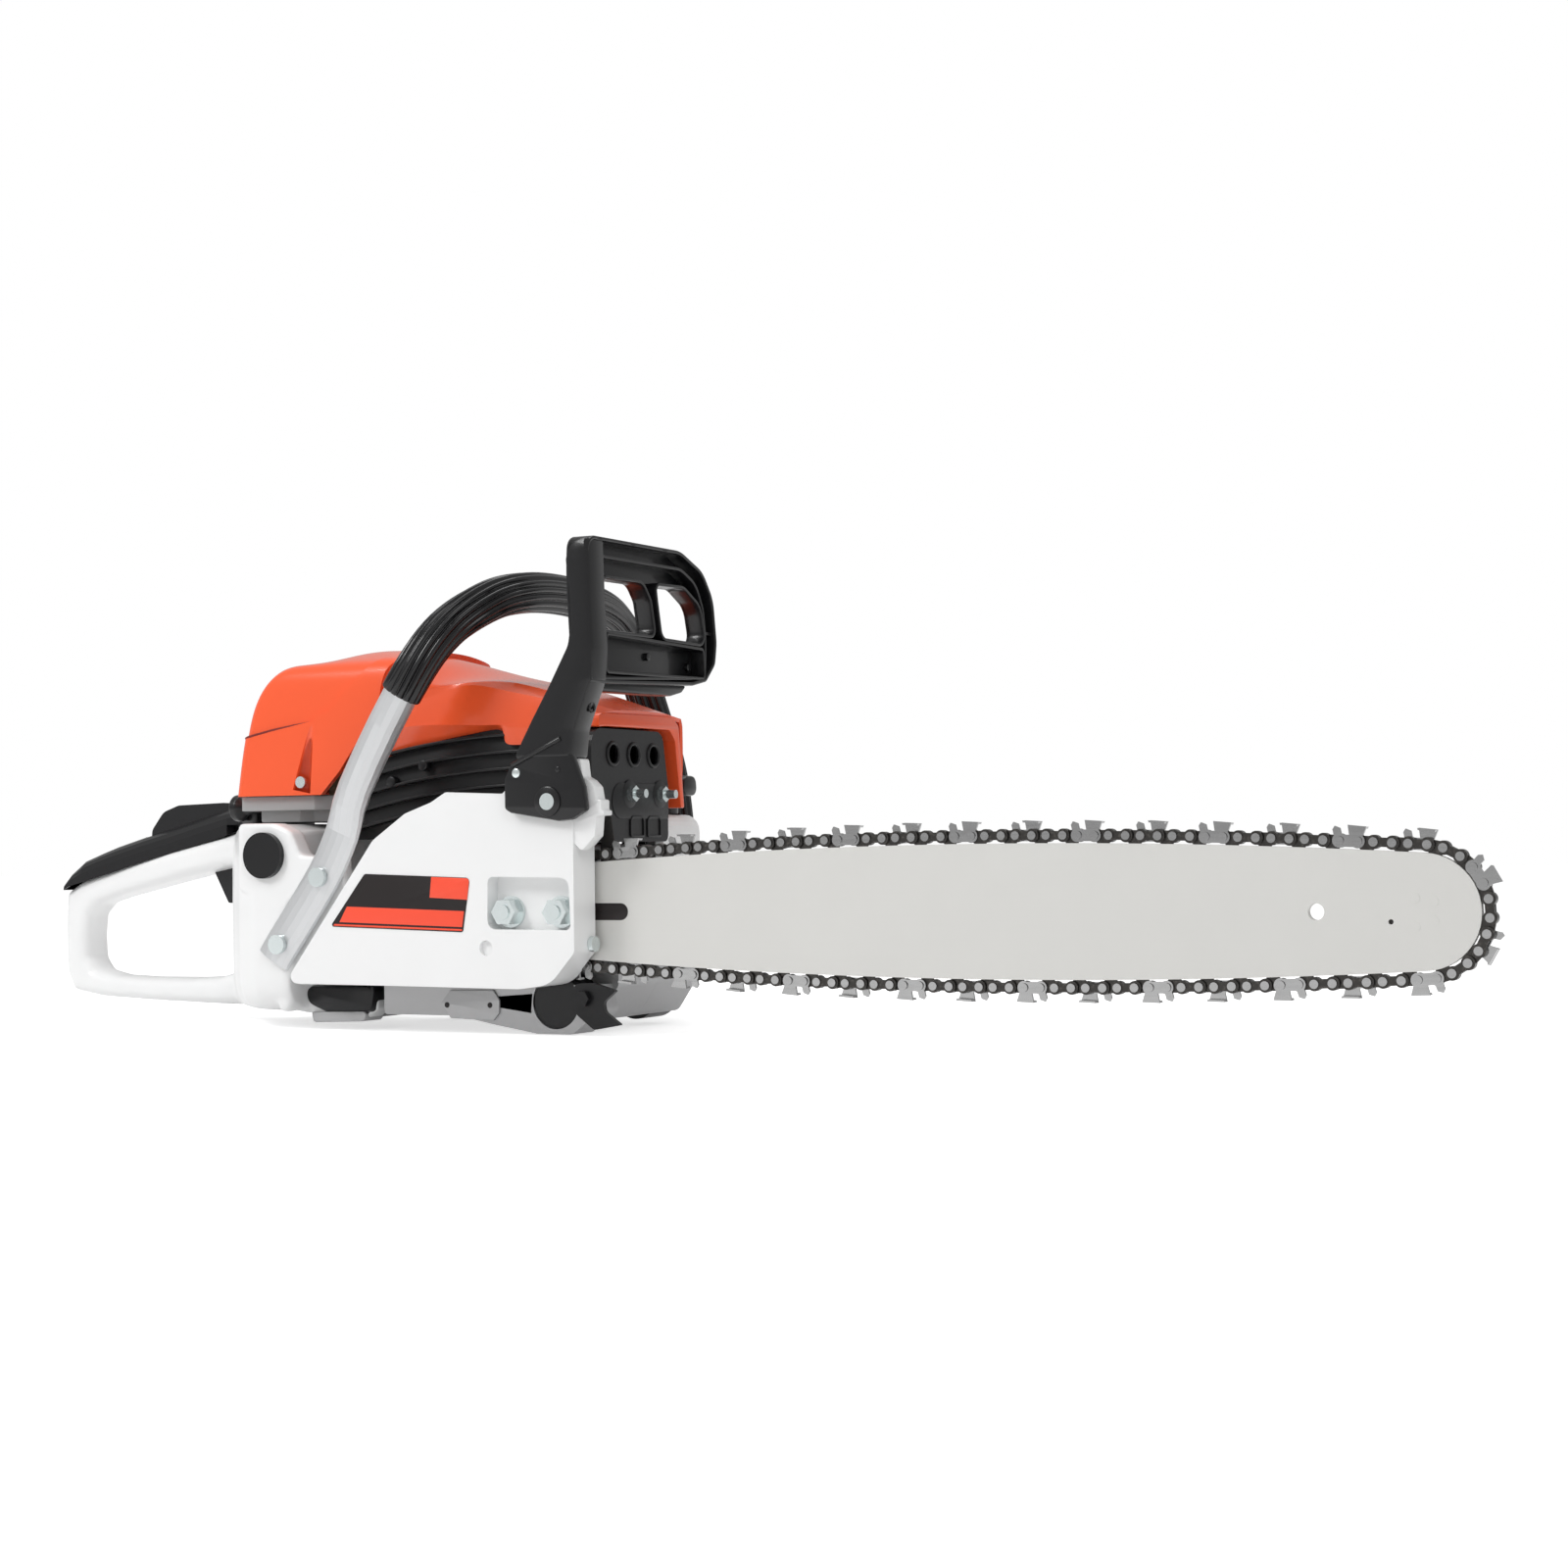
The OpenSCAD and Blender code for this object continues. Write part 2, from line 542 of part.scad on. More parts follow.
module crankcase_left() color([0.66, 0.66, 0.67])
    difference() {
        union() {
            along_y(0.05, case_y[1]) polygon(case_outline);
            box([skid[0][0], skid[1][0] + 0.05, 0], [skid[0][1], skid[1][1], case_low + 4]);
        }
        case_bores(0, case_y[1], 16, bearing_y[1] + 0.1, -1, 16.5);
        rod_y(oil_plug_r + 0.1, case_y[1] - 14, case_y[1] + 1, cap_places[1][0], cap_places[1][1]);
    }
cap_places = [[-140, 44], [86.5, 36]];
oil_plug_r = 8;

// ---- Clutch, oil pump and brake ----
band_t = 1.2;
sprocket_root_r = sprocket_r - tang_reach - 0.4;
module clutch_drum() color([0.45, 0.45, 0.47])
    difference() {
        union() {
            difference() {
                rod_y(drum_r, drum_y[0], drum_y[1], 0, crank_z);
                rod_y(drum_r - 2, drum_y[0] - 1, drum_y[1] - 2, 0, crank_z);
            }
            translate([0, 0, crank_z]) along_y(bar_y - 3.5, bar_y + 3.5)
                star(drive_teeth, sprocket_root_r, sprocket_r - eye_r - 0.6, 6.5, 3.6,
                    tang_angle(back_link, 0) + 180 / drive_teeth);
            rod_y(sprocket_root_r - 0.8, drum_y[1] - 1, bar_y, 0, crank_z);
        }
        rod_y(pto_r + 2, -120, -40, 0, crank_z);
    }
module clutch_hub() color([0.5, 0.5, 0.5])
    difference() {
        union() {
            rod_y(12, -86, -74.5, 0, crank_z);
            for (a = [0:120:240])
                translate([0, 0, crank_z]) rotate([0, a, 0]) box([-4, -84, 8], [4, -76, 20]);
        }
        rod_y(pto_r + seat_gap, -120, -40, 0, crank_z);
    }
module clutch_shoes() color([0.4, 0.38, 0.36]) {
    for (a = [0:120:240])
        translate([0, 0, crank_z]) rotate([0, a, 0]) difference() {
            rod_y(drum_r - 2.6, -85, -75, 0, 0);
            rod_y(12.4, -90, -70, 0, 0);
            box([-4.3, -90, 0], [4.3, -70, 20.4]);
            for (side = [-1, 1])
                rotate([0, side * 58, 0]) translate([side > 0 ? 0 : -60, -90, -45]) cube([60, 20, 90]);
            translate([-60, -90, -60]) cube([120, 20, 60]);
        }
    translate([0, -86.8, crank_z]) rotate([90, 0, 0]) rotate_extrude($fn = 48)
        translate([18, 0]) circle(r = 1.3, $fn = 16);
}
module oil_pump() color([0.3, 0.3, 0.32])
    difference() {
        union() {
            rod_y(16, -54, case_y[0] - 0.02, 0, crank_z);
            box([0, -52, crank_z - 20], [24, case_y[0] - 0.02, crank_z - 8]);
        }
        rod_y(shaft_r + 0.5, -60, -40, 0, crank_z);
    }
module brake_band() color([0.35, 0.35, 0.37]) {
    difference() {
        ring_y(drum_r + 0.4 + band_t, drum_r + 0.4, -85, -75, 0, crank_z);
        box([2, -90, crank_z], [60, -70, crank_z + 60]);
    }
    box([1, -85, crank_z + drum_r + 0.5], [34, -75, crank_z + drum_r + 4]);
    rod_x(4, 30, 66, -80, crank_z + drum_r + 6);
}
// The plate stands inside the chain's loop, and its lug goes up behind the chain.
plate_half = 21.4;
bar_plate_t = 0.8;
module inner_plate() color([0.75, 0.76, 0.78])
    union() {
        along_y(pad_y - bar_plate_t, pad_y - 0.02) difference() {
            polygon(rounded([[38, crank_z - plate_half, 6], [104, crank_z - plate_half, 6],
                [104, crank_z + plate_half, 1], [38, crank_z + plate_half, 6]], 4));
            for (x = stud_x)
                translate([x, crank_z]) circle(r = stud_r + 0.05, $fn = 32);
        }
        box([98, pad_y - bar_plate_t, crank_z + plate_half - 5], [104, pad_y + 1.2, crank_z + plate_half]);
        along_y(pad_y + 0.4, pad_y + 1.2) polygon(rounded([[98, crank_z + plate_half - 2, 0],
            [104, crank_z + plate_half - 2, 0], [107, crank_z + 36, 3], [104, crank_z + 56, 2],
            [100, crank_z + 56, 2], [98, crank_z + 36, 3]], 4));
    }
floor_y = cover_y + pocket_d;
module bar_studs() color([0.72, 0.73, 0.75])
    for (x = stud_x)
        rod_y(stud_r - 0.02, cover_y - 0.5, -35, x, crank_z);
module bar_nuts() color([0.75, 0.78, 0.78])
    for (x = stud_x)
        difference() {
            union() {
                rod_y(8.6, floor_y - 2, floor_y - 0.02, x, crank_z);
                hex_y(13, floor_y - 9.5, floor_y - 1.9, x, crank_z);
            }
            rod_y(stud_r + 0.01, -120, -60, x, crank_z);
        }
tension_place = [-77, 50];
module tension_screw() color([0.75, 0.76, 0.72]) {
    rod_x(2.5, 74, cover_front + 0.2, tension_place[0], tension_place[1]);
    rod_x(4.2, cover_front + 0.2, cover_front + 3, tension_place[0], tension_place[1]);
}
module bumper_spikes() color([0.12, 0.12, 0.13]) {
    difference() {
        along_y(-69.2, -66.2) polygon(rounded([[83, 28, 4], [84, 12, 6], [96, 3, 4], [113, 6, 0.5],
            [103, 13, 3], [102, 18, 3], [110, 24.5, 0.5], [96, 28.5, 4]], 4));
        rod_y(2.6, -80, -60, bumper_bolt[0], bumper_bolt[1]);
    }
    rod_y(2.55, -69.2, -52, bumper_bolt[0], bumper_bolt[1]);
    hex_y(8, -72.5, -69.25, bumper_bolt[0], bumper_bolt[1]);
}

// ---- Muffler ----
muffler_x = [58, 74, 87.5];
muffler_sides = [-55, 30];
muffler_low = 105;
muffler_top = 168;
muffler_bolt_y = [-14, 20];
module muffler_face(inset) {
    polygon(rounded([[muffler_sides[0] + inset, muffler_top - inset, 10 - inset],
        [muffler_sides[0] + inset, 140, 8], [muffler_sides[0] + 5 + inset, 125, 8],
        [muffler_sides[0] + 9 + inset, muffler_low + inset, 4],
        [muffler_sides[1] - inset, muffler_low + inset, 4], [muffler_sides[1] - inset, 138, 8],
        [muffler_sides[1] - 6 - inset, muffler_top - inset, 8]]));
}
module muffler_body() color([0.13, 0.13, 0.14])
    difference() {
        along_x(muffler_x[0], muffler_x[1]) muffler_face(0);
        along_x(muffler_x[0] + 1.5, muffler_x[1] + 1) muffler_face(1.5);
        rod_x(9, muffler_x[0] - 1, muffler_x[0] + 3, 0, port_z);
        for (y = muffler_bolt_y)
            rod_x(2.5, muffler_x[0] - 1, muffler_x[1], y, port_z);
    }
module muffler_cover() color([0.13, 0.13, 0.14])
    difference() {
        along_x(muffler_x[1] + 0.02, muffler_x[2]) muffler_face(0);
        along_x(muffler_x[1], muffler_x[2] - 1.5) muffler_face(1.5);
        for (y = [-31.7, -8.9, 13.3])
            rod_x(5.5, muffler_x[1], muffler_x[2] + 1, y, 154);
        for (y = muffler_bolt_y)
            rod_x(2.5, muffler_x[1], muffler_x[2] + 1, y, port_z);
    }
module muffler_nuts() color([0.72, 0.74, 0.75])
    for (y = muffler_bolt_y) {
        rod_x(2.48, muffler_x[0] - 0.5, muffler_x[2] + 11, y, port_z);
        difference() {
            translate([muffler_x[2] + 0.02, y, port_z]) rotate([0, 90, 0])
                cylinder(d = 8 / cos(30), h = 4.5, $fn = 6);
            rod_x(2.5, muffler_x[0], muffler_x[2] + 20, y, port_z);
        }
    }

// ---- Intake, carburettor and air filter ----
box_x = [-161, -90];
box_z = [118.3, 134];
module intake_boot() color([0.1, 0.1, 0.1])
    difference() {
        union() {
            rod_x(14, -69, -57.6, 0, port_z);
            rod_x(19, -60.5, -57.6, 0, port_z);
        }
        rod_x(9, -80, -50, 0, port_z);
    }
module carburetor() color([0.7, 0.7, 0.72])
    difference() {
        union() {
            box([-93, -18, port_z - 18], [-69.1, 18, port_z + 16]);
            rod_y(5, -27, 27, -81, port_z - 6);
        }
        rod_x(8, -100, -60, 0, port_z);
    }
module air_box() color([0.62, 0.62, 0.63])
    difference() {
        translate([0, 0, box_z[0]]) linear_extrude(box_z[1] - box_z[0]) polygon(rounded([
            [box_x[0], -46, 6], [-104, -46, 2], [-94, -38, 2], [-94, 38, 2], [-104, 46, 2],
            [box_x[0], 46, 6]]));
        box([box_x[0] + 4, -36, box_z[0] + 4], [-98, 36, box_z[1] + 1]);
        box([-100, -20, box_z[0] - 9], [-90, 20, box_z[1] + 1]);
        rod_x(3.2, box_x[0] - 1, box_x[0] + 5, choke_place[0], choke_place[1]);
    }
choke_place = [-30, 128];
module choke_knob() color([0.16, 0.15, 0.15]) {
    rod_x(3.15, box_x[0] - 10, box_x[0] + 22, choke_place[0], choke_place[1]);
    translate([box_x[0] - 16, choke_place[0], choke_place[1]]) rotate([0, 90, 0])
        rotate_extrude($fn = 48) polygon(rounded([[0, 0, 0], [8, 0, 2], [8, 5, 2], [4.5, 9, 2],
            [3.2, 14, 0], [0, 14, 0]]));
}
module air_filter() color([0.85, 0.82, 0.7])
    difference() {
        translate([0, 0, box_z[1] + 0.05]) linear_extrude(36) polygon(rounded([[-152, -32, 8],
            [-104, -32, 8], [-104, 32, 8], [-152, 32, 8]]));
        translate([0, 0, box_z[1] - 1]) linear_extrude(30) polygon(rounded([[-145, -25, 5],
            [-111, -25, 5], [-111, 25, 5], [-145, 25, 5]]));
    }

// ---- Orange covers ----
// Arched section of a hood at one X: flat sides up to a rounded top, closed along the bottom. The
// left side may reach further out than the right. The inset moves all but the bottom inwards.
arch_steps = 14;
function arch(x, right, left, low, top, power, inset = 0) =
    let (base = low - (inset > 0 ? 1 : 0))
    [for (k = [0:arch_steps]) let (t = 180 * k / arch_steps, c = cos(t))
        [x, (right + left) / 2 + ((left - right) / 2 - inset) * sign(c) * pow(abs(c), 2 / power),
            base + (top - base - inset) * pow(abs(sin(t)), 2 / power)]];
// A shell over rows of X, right side, left side, lower edge, top and squareness. The hollow starts
// and ends at the given places.
module hood(rows, hollow_from, hollow_to) {
    last = len(rows) - 1;
    difference() {
        skin([for (r = rows) arch(r[0], r[1], r[2], r[3], r[4], r[5])]);
        skin([for (i = [0:last]) let (r = rows[i])
            arch(i == 0 ? hollow_from : i == last ? hollow_to : r[0], r[1], r[2], r[3], r[4], r[5],
                hood_wall)]);
    }
}
// The covers' crown lies this far over the cylinder's head.
crown_z = head_z + 49;
split_x = -66;
rear_rows = [[-159.5, -42, 46, 134.5, crown_z - 51, 5], [-156, -46, 50, 134.4, crown_z - 45, 4.8],
    [-150, -49, 53, 134.3, crown_z - 31, 4.4], [-142, -50, 55, 134.3, crown_z - 19.5, 4.2],
    [-130, -50, 55, 134.3, crown_z - 9.5, 4], [-112, -51, 56, 134.2, crown_z - 2, 3.8],
    [-90, -51, 56, 134.2, crown_z + 1, 3.6], [split_x, -51, 56, 134.2, crown_z, 3.4]];
module filter_cover() color([1, 0.41, 0.23])
    difference() {
        hood(rear_rows, rear_rows[0][0] + hood_wall, split_x + 1);
        rod_x(4, -170, -150, choke_place[0], choke_place[1]);
    }
front_rows = [[split_x + 0.3, -51, 56, 134.2, crown_z, 3.4], [-45, -51, 57, 157, crown_z - 3, 3.2],
    [-31, -50, 57, 170.5, crown_z - 8, 3], [-15, -50, 57, 170.5, crown_z - 13, 3],
    [0, -49, 57, 170.5, crown_z - 18, 3], [22, -48, 57, 170.8, crown_z - 25, 3.2],
    [44, -47, 57, 171, crown_z - 30, 3.6], [66, -45, 56, 172, crown_z - 36, 4.2],
    [88, -42, 53, 172.6, crown_z - 40.5, 5]];
module cylinder_cover() color([1, 0.41, 0.23]) {
    hood(front_rows, split_x, 89);
    difference() {
        box([-50, 50, 124.5], [88, 56.5, 173]);
        box([-51, 49, 124], [86, 54, 168]);
    }
    box([86, 40, 124.5], [88, 50.1, 173]);
}
module screw_z(x, y, z, r) {
    difference() {
        rod_z(r, z, z + 2.4, x, y);
        for (a = [0, 90])
            translate([x, y, z + 1.4]) rotate([0, 0, a]) cube([1.8 * r * 0.7, 1, 2.2], center = true);
    }
}
module case_screws() color([0.75, 0.76, 0.77]) {
    for (x = [-28, 28], y = [-26, 26]) {
        rod_z(2.48, deck_z - 12, deck_z + 6.05, x, y);
        screw_z(x, y, deck_z + 6.05, 3.4);
    }
    rod_y(3.4, -53.3, -51.3, -111.5, 142);
}

// ---- Starter ----
starter_outline = rounded([[-78, 24, 16], [-66, 14, 6], [60, 14, 8], [74, 28, 14], [75, 80, 20],
    [75, 121, 10], [-52, 121, 16], [-78, 90, 18]]);
post_r = 5;
pulley_y = [74, 82];
rope_r = 1.8;
rope_x = 60;
rope_y = 78;
module starter_housing() color([0.95, 0.95, 0.95])
    difference() {
        union() {
            difference() {
                along_y(case_y[1] + 0.05, starter_y) polygon(starter_outline);
                along_y(case_y[1] - 1, starter_y - wall) intersection() {
                    polygon(starter_outline);
                    translate([0, 67.5]) scale([0.93, 0.93]) translate([0, -67.5]) polygon(starter_outline);
                }
            }
            rod_y(post_r, pulley_y[0] - 1, starter_y - 1, 0, crank_z);
            rod_y(7, starter_y - wall - 7, starter_y + 0.3, left_screw[0], left_screw[1]);
            ring_y(28, 26, pulley_y[1] + 0.4, starter_y - 1, 0, crank_z);
        }
        for (a = [-60:15:60])
            translate([0, 0, crank_z]) rotate([0, a - 90, 0]) box([33, starter_y - wall - 1, -2.2],
                [46, starter_y + 1, 2.2]);
        rod_z(rope_r + 0.7, 100, 130, rope_x, rope_y);
        rod_z(7, 112, 130, rope_x, rope_y);
        rod_z(lead_r + 0.6, 112, 130, lead_end[0], lead_end[1]);
        box([lead_end[0] - lead_r - 0.6, 40, 112], [lead_end[0] + lead_r + 0.6, lead_end[1], 130]);
        rod_y(2.98, starter_y - wall - 8, starter_y + 2, left_screw[0], left_screw[1]);
    }
module starter_pulley() color([0.2, 0.2, 0.22])
    difference() {
        rod_y(25.4, pulley_y[0], pulley_y[1], 0, crank_z);
        ring_y(30, 20, pulley_y[0] + 2, pulley_y[1] - 2, 0, crank_z);
        rod_y(post_r + run_gap, 60, 100, 0, crank_z);
    }
rope_wind_r = 22;
// The rope leaves its winding on a tangent to the eyelet and turns up there.
eyelet = [rope_x, 44];
leave_angle = atan2(eyelet[1], eyelet[0]) - acos(rope_wind_r / norm(eyelet));
leave = rope_wind_r * [cos(leave_angle), sin(leave_angle)];
module starter_rope() color([0.9, 0.9, 0.88]) {
    translate([0, rope_y, crank_z]) rotate([90, 0, 0]) rotate_extrude($fn = 48)
        translate([rope_wind_r, 0]) circle(r = rope_r, $fn = 12);
    flat = concat([for (f = [0, 0.5, 0.94]) mix(leave, eyelet, f)],
        [eyelet + [-0.4, 3], eyelet + [0, 8], eyelet + [0, 13.5]]);
    path = curve([for (p = flat) [p[0], rope_y, crank_z + p[1]]], 3);
    skin([for (i = [0:len(path) - 1])
        ring(path[i], heading(path, i), [0, 1, 0], rope_r - 0.15, rope_r - 0.15, 8)]);
}
module starter_handle() color([0.1, 0.1, 0.1])
    difference() {
        union() {
            rod_z(6.5, 121.2, 134, rope_x, rope_y);
            translate([rope_x, rope_y, 138]) rotate([0, 90, 0]) translate([0, 0, -24])
                linear_extrude(48) polygon(rounded([[-6, -7, 5], [6, -9, 5], [6, 9, 5], [-6, 7, 5]]));
        }
        rod_z(rope_r + 0.05, 110, 125.05, rope_x, rope_y);
    }
coil_turns = 4.5;
coil_steps = 90;
// A point of the spring's spiral, moved out by d.
function coil(k, d) = let (f = k / coil_steps, r = 8 + 15.5 * f + d)
    [r * cos(360 * coil_turns * f), r * sin(360 * coil_turns * f)];
module recoil_spring() color([0.4, 0.42, 0.45])
    translate([0, 0, crank_z]) along_y(pulley_y[1] + 0.6, starter_y - wall - 0.3)
        polygon(concat([for (k = [0:coil_steps]) coil(k, 0.35)],
            [for (k = [coil_steps:-1:0]) coil(k, -0.35)]));

// ---- Rear handle ----
grip_half = grip_w / 2;
// Inner and outer points of the loop, from the top front round the back to the bottom front.
loop_stations = [[-178, 94, -177, 117], [-198, 92, -200, 113.6], [-245, 83.5, -242, 103.8],
    [-284, 76, -288, 91.3], [-297, 73, -312, 85], [-304, 64, -325.5, 80], [-305.5, 50, -326.5, 53],
    [-305, 36, -325.5, 27], [-299, 29, -320, 13.5], [-284, 26, -298, 11], [-262, 25.5, -262, 7.8],
    [-225, 26, -222, 3.8], [-208, 29, -200, 1.6], [-186, 34, -183, 0.6]];
loop_path = curve(loop_stations, 3);
function loop_ring(s, half, power) = let (inner = [s[0], 0, s[1]], outer = [s[2], 0, s[3]],
    centre = (inner + outer) / 2, reach = (outer - inner) / 2)
    [for (i = [0:19]) let (t = 18 * i, c = cos(t), q = sin(t))
        centre + reach * sign(c) * pow(abs(c), 2 / power) + [0, half, 0] * sign(q) * pow(abs(q), 2 / power)];
tank_rows = [[-195.5, -15, 15, 0.8, 117.6], [-191, -24, 22, 0.4, 118], [-176, -50, 40, 0.2, 118],
    [-156, -74, 56, 0, 118], [-140, -83, 61, 0, 118], [-122, -84, 62, 0, 117.8], [-103, -84, 62, 0.4, 114],
    [-98.5, -83, 61, 1, 101]];
strip_start = [-107.2, 40];
strip_seat_y = -80;
ear_y = -84;
plug_at = [-113, 99.6];
plug_r = 13.2;
strip_slope = 53;
handle_screw_at = [[-101, 48.9], [-72.3, 87]];
trigger_pivot = [-199, 99];
lever_pivot = [-200, 118.5];
tank_cap = cap_places[0];
module rear_handle() color([0.95, 0.95, 0.95])
    difference() {
        union() {
            skin([for (s = loop_path) loop_ring(s, grip_half, 3)]);
            skin([for (r = tank_rows) squircle(r[0], r[1], r[2], r[3], r[4], 7, 28)]);
            along_y(strip_seat_y, -70) polygon(rounded([[-108, 4, 3], [-100, 4, 3], [-100, 28, 0],
                [-60, 80, 4], [-62, 98.5, 3], [-108, 99, 3]]));
            along_y(ear_y, -70) polygon(rounded([[-133, 80, 0], [-133, 117, 2], [-103, 117, 12],
                [-90, 108, 8], [-87.7, 90, 3], [-100, 80, 3]]));
            difference() {
                along_y(-64, -48) polygon(rounded([[-105, 3, 2], [-58, 3, 3], [-50, 10, 3],
                    [-52, 22, 2], [-66, 34, 6], [-105, 34, 2]]));
                rod_y(buffer_r + 0.3, -70, -40, buffer_rear[0], buffer_rear[1]);
                box([-81.5, -70, 21], [-40, -40, 40]);
            }
        }
        translate([strip_start[0], -100, strip_start[1]]) rotate([0, -strip_slope, 0])
            box([-14, 0, -12.4], [110, 100 + strip_seat_y, 12.4]);
        box([-172, -44, 10], [-106, 36, 100]);
        box([-154, -68, 10], [-106, 51, 100]);
        rod_y(12, 40, 60, tank_cap[0], tank_cap[1]);
        rod_y(15, 58, 70, tank_cap[0], tank_cap[1]);
        box([-216, -5.5, 80], [-188, 5.5, 105]);
        box([-264, -7, 102], [-190, 7, 125]);
        box([-129, 53.6, 88], [-121, 70, 102]);
        rod_y(2.02, -9, 9, trigger_pivot[0], trigger_pivot[1]);
        rod_y(plug_r - 1.4, ear_y - 1, ear_y + 8, plug_at[0], plug_at[1]);
        for (p = handle_screw_at)
            rod_y(2.98, -90, -60, p[0], p[1]);
    }
grip_top = [[-325.5, 84], [-321, 90], [-312, 97.5], [-292, 104.5], [-268, 111], [-245, 116.5],
    [-222, 122.5], [-200, 128], [-178, 131.5]];
// Upper line of the loop and of the wide part's deck, which the cover lies on.
grip_seat = [[-325.5, 82], [-321, 84.4], [-312, 86.5], [-300, 89.7], [-288, 92.4], [-265, 98.5],
    [-242, 103.8], [-220, 109.2], [-200, 113.6], [-196.2, 115], [-196, 118], [-178, 118]];
grip_gap = 0.5;
// Half of the cover's hollow underside, across the loop: place and drop, as shares.
grip_hollow = [[0, 0], [0.45, 0.05], [0.7, 0.18], [0.88, 0.36]];
module grip_cover() color([0.12, 0.12, 0.13])
    difference() {
        skin([for (p = grip_seat) let (low = p[1] + grip_gap, rise = lookup(p[0], grip_top) - p[1],
            drop = p[0] > -196.1 ? 0.5 : 9)
            concat([for (k = [0:12]) let (t = 15 * k, c = cos(t))
                [p[0], grip_half * sign(c) * pow(abs(c), 0.7),
                    mix(low - 0.4 * drop, low + rise, pow(sin(t), 0.7))]],
                [for (k = [-3:3]) let (h = grip_hollow[abs(k)])
                    [p[0], grip_half * sign(k) * h[0], low - drop * h[1]]])]);
        box([-266, -7, 100], [-192, 7, 140]);
        rod_y(2.02, -9, 9, lever_pivot[0], lever_pivot[1]);
    }
trigger_outline = rounded([[-206, 103, 2], [-192, 103, 4], [-192, 92, 0], [-195.6, 88, 0],
    [-195.6, 70.5, 2], [-203, 70.5, 2], [-213.5, 89.5, 2], [-209, 97, 3]]);
module throttle_trigger() color([0.13, 0.13, 0.14])
    difference() {
        along_y(-4.8, 4.8) polygon(trigger_outline);
        rod_y(2.05, -9, 9, trigger_pivot[0], trigger_pivot[1]);
    }
module lockout_lever() color([0.13, 0.13, 0.14])
    difference() {
        along_y(-6.5, 6.5) polygon(rounded([[-261.5, 108, 2], [-261, 116, 6], [-252, 127, 10],
            [-240, 131, 12], [-205, 132, 6], [-194, 131, 3], [-194, 114, 3], [-212, 112, 4]]));
        rod_y(2.05, -9, 9, lever_pivot[0], lever_pivot[1]);
    }
module stop_switch() color([0.8, 0.12, 0.1]) {
    box([-131, 62.4, 88], [-119, 66.5, 104]);
    box([-128.5, 54, 94.5], [-121.5, 62.5, 101.5]);
}
module screw_cap(x, z, y, r, plug_r) {
    difference() {
        union() {
            rod_y(r, y, y + 7, x, z);
            rod_y(plug_r, y - 12, y + 0.1, x, z);
        }
        for (a = [0:20:340])
            translate([x, 0, z]) rotate([0, a, 0]) rod_y(1.2, y + 1, y + 8, r + 0.4, 0);
    }
    translate([x, 0, z]) box([3 - r, y + 6.9, -2], [r - 3, y + 11, 2]);
}
module fuel_cap() color([0.13, 0.13, 0.14])
    screw_cap(tank_cap[0], tank_cap[1], 58.3, 14.6, 11.9);
module oil_cap() color([0.13, 0.13, 0.14])
    screw_cap(cap_places[1][0], cap_places[1][1], case_y[1] + 0.3, 9.5, oil_plug_r);
module av_buffers() color([0.1, 0.1, 0.11]) {
    for (p = [buffer_front, buffer_rear])
        rod_y(buffer_r, -65, -20.3, p[0], p[1]);
    for (p = [buffer_front, buffer_rear])
        rod_y(buffer_r, 20.3, case_y[1] - 0.5, p[0], p[1]);
    rod_y(plug_r, ear_y - 4, ear_y - 0.1, plug_at[0], plug_at[1]);
    rod_y(plug_r - 1.6, ear_y - 0.2, ear_y + 7, plug_at[0], plug_at[1]);
}

// ---- Front handle ----
handle_points = [[strip_start[0], -84.2, strip_start[1]],
    [handle_screw_at[0][0], -84.2, handle_screw_at[0][1]],
    [handle_screw_at[1][0], -84.2, handle_screw_at[1][1]], [-59, -84, 112], [-50, -84, 137],
    [-19, -83, 189], [0, -73, 221], [16, -52, 240], [24, -22, 248], [26, 20, 249], [25, 60, 245],
    [22, 88, 235], [21, 107, 216], [25, 116, 190], [36, 120, 150], [41, 121, 112], [44, 118, 82],
    [43, 107, 56], [41, 96, 38], [39, 94.6, 20]];
handle_steps = 3;
handle_path = curve(handle_points, handle_steps);
// Flattening of the tube at one path point: 1 where it is round, 0 where it is flat.
function roundness(i) = let (last = len(handle_path) - 1, f = min(i - 3 * handle_steps,
    last - handle_steps - i) / (1.5 * handle_steps)) max(0, min(1, f));
function handle_ring(i, inset, n) = let (f = roundness(i))
    ring(handle_path[i], heading(handle_path, i), [1, 0, 0], mix(4, tube_r, f) - inset,
        mix(11.5, tube_r, f) - inset, n);
module handle_shell(from, to, outer, inner, n) {
    skin(concat([for (i = [from:to]) handle_ring(i, -outer, n)],
        [for (i = [to:-1:from]) handle_ring(i, -inner, n)]), true);
}
left_screw = [40, 29];
left_face = 100.1;
sleeve_from = 5 * handle_steps;
sleeve_to = 16 * handle_steps - 1;
module front_handle() color([0.72, 0.72, 0.73])
    difference() {
        handle_shell(0, len(handle_path) - 1, 0, -1.5, 16);
        for (p = handle_screw_at)
            rod_y(3.2, -100, -60, p[0], p[1]);
        rod_y(3.2, 80, 110, left_screw[0], left_screw[1]);
    }
module handle_grip() color([0.1, 0.1, 0.11])
    handle_shell(sleeve_from, sleeve_to, sleeve_t, 0.3, 16);
module handle_screws() color([0.75, 0.78, 0.78]) {
    for (p = handle_screw_at) {
        rod_y(2.96, -88.3, -72, p[0], p[1]);
        rod_y(5.5, -91, -88.25, p[0], p[1]);
    }
    rod_y(2.96, starter_y - wall - 7, left_face + 0.1, left_screw[0], left_screw[1]);
    rod_y(5.5, left_face, left_face + 2.75, left_screw[0], left_screw[1]);
}

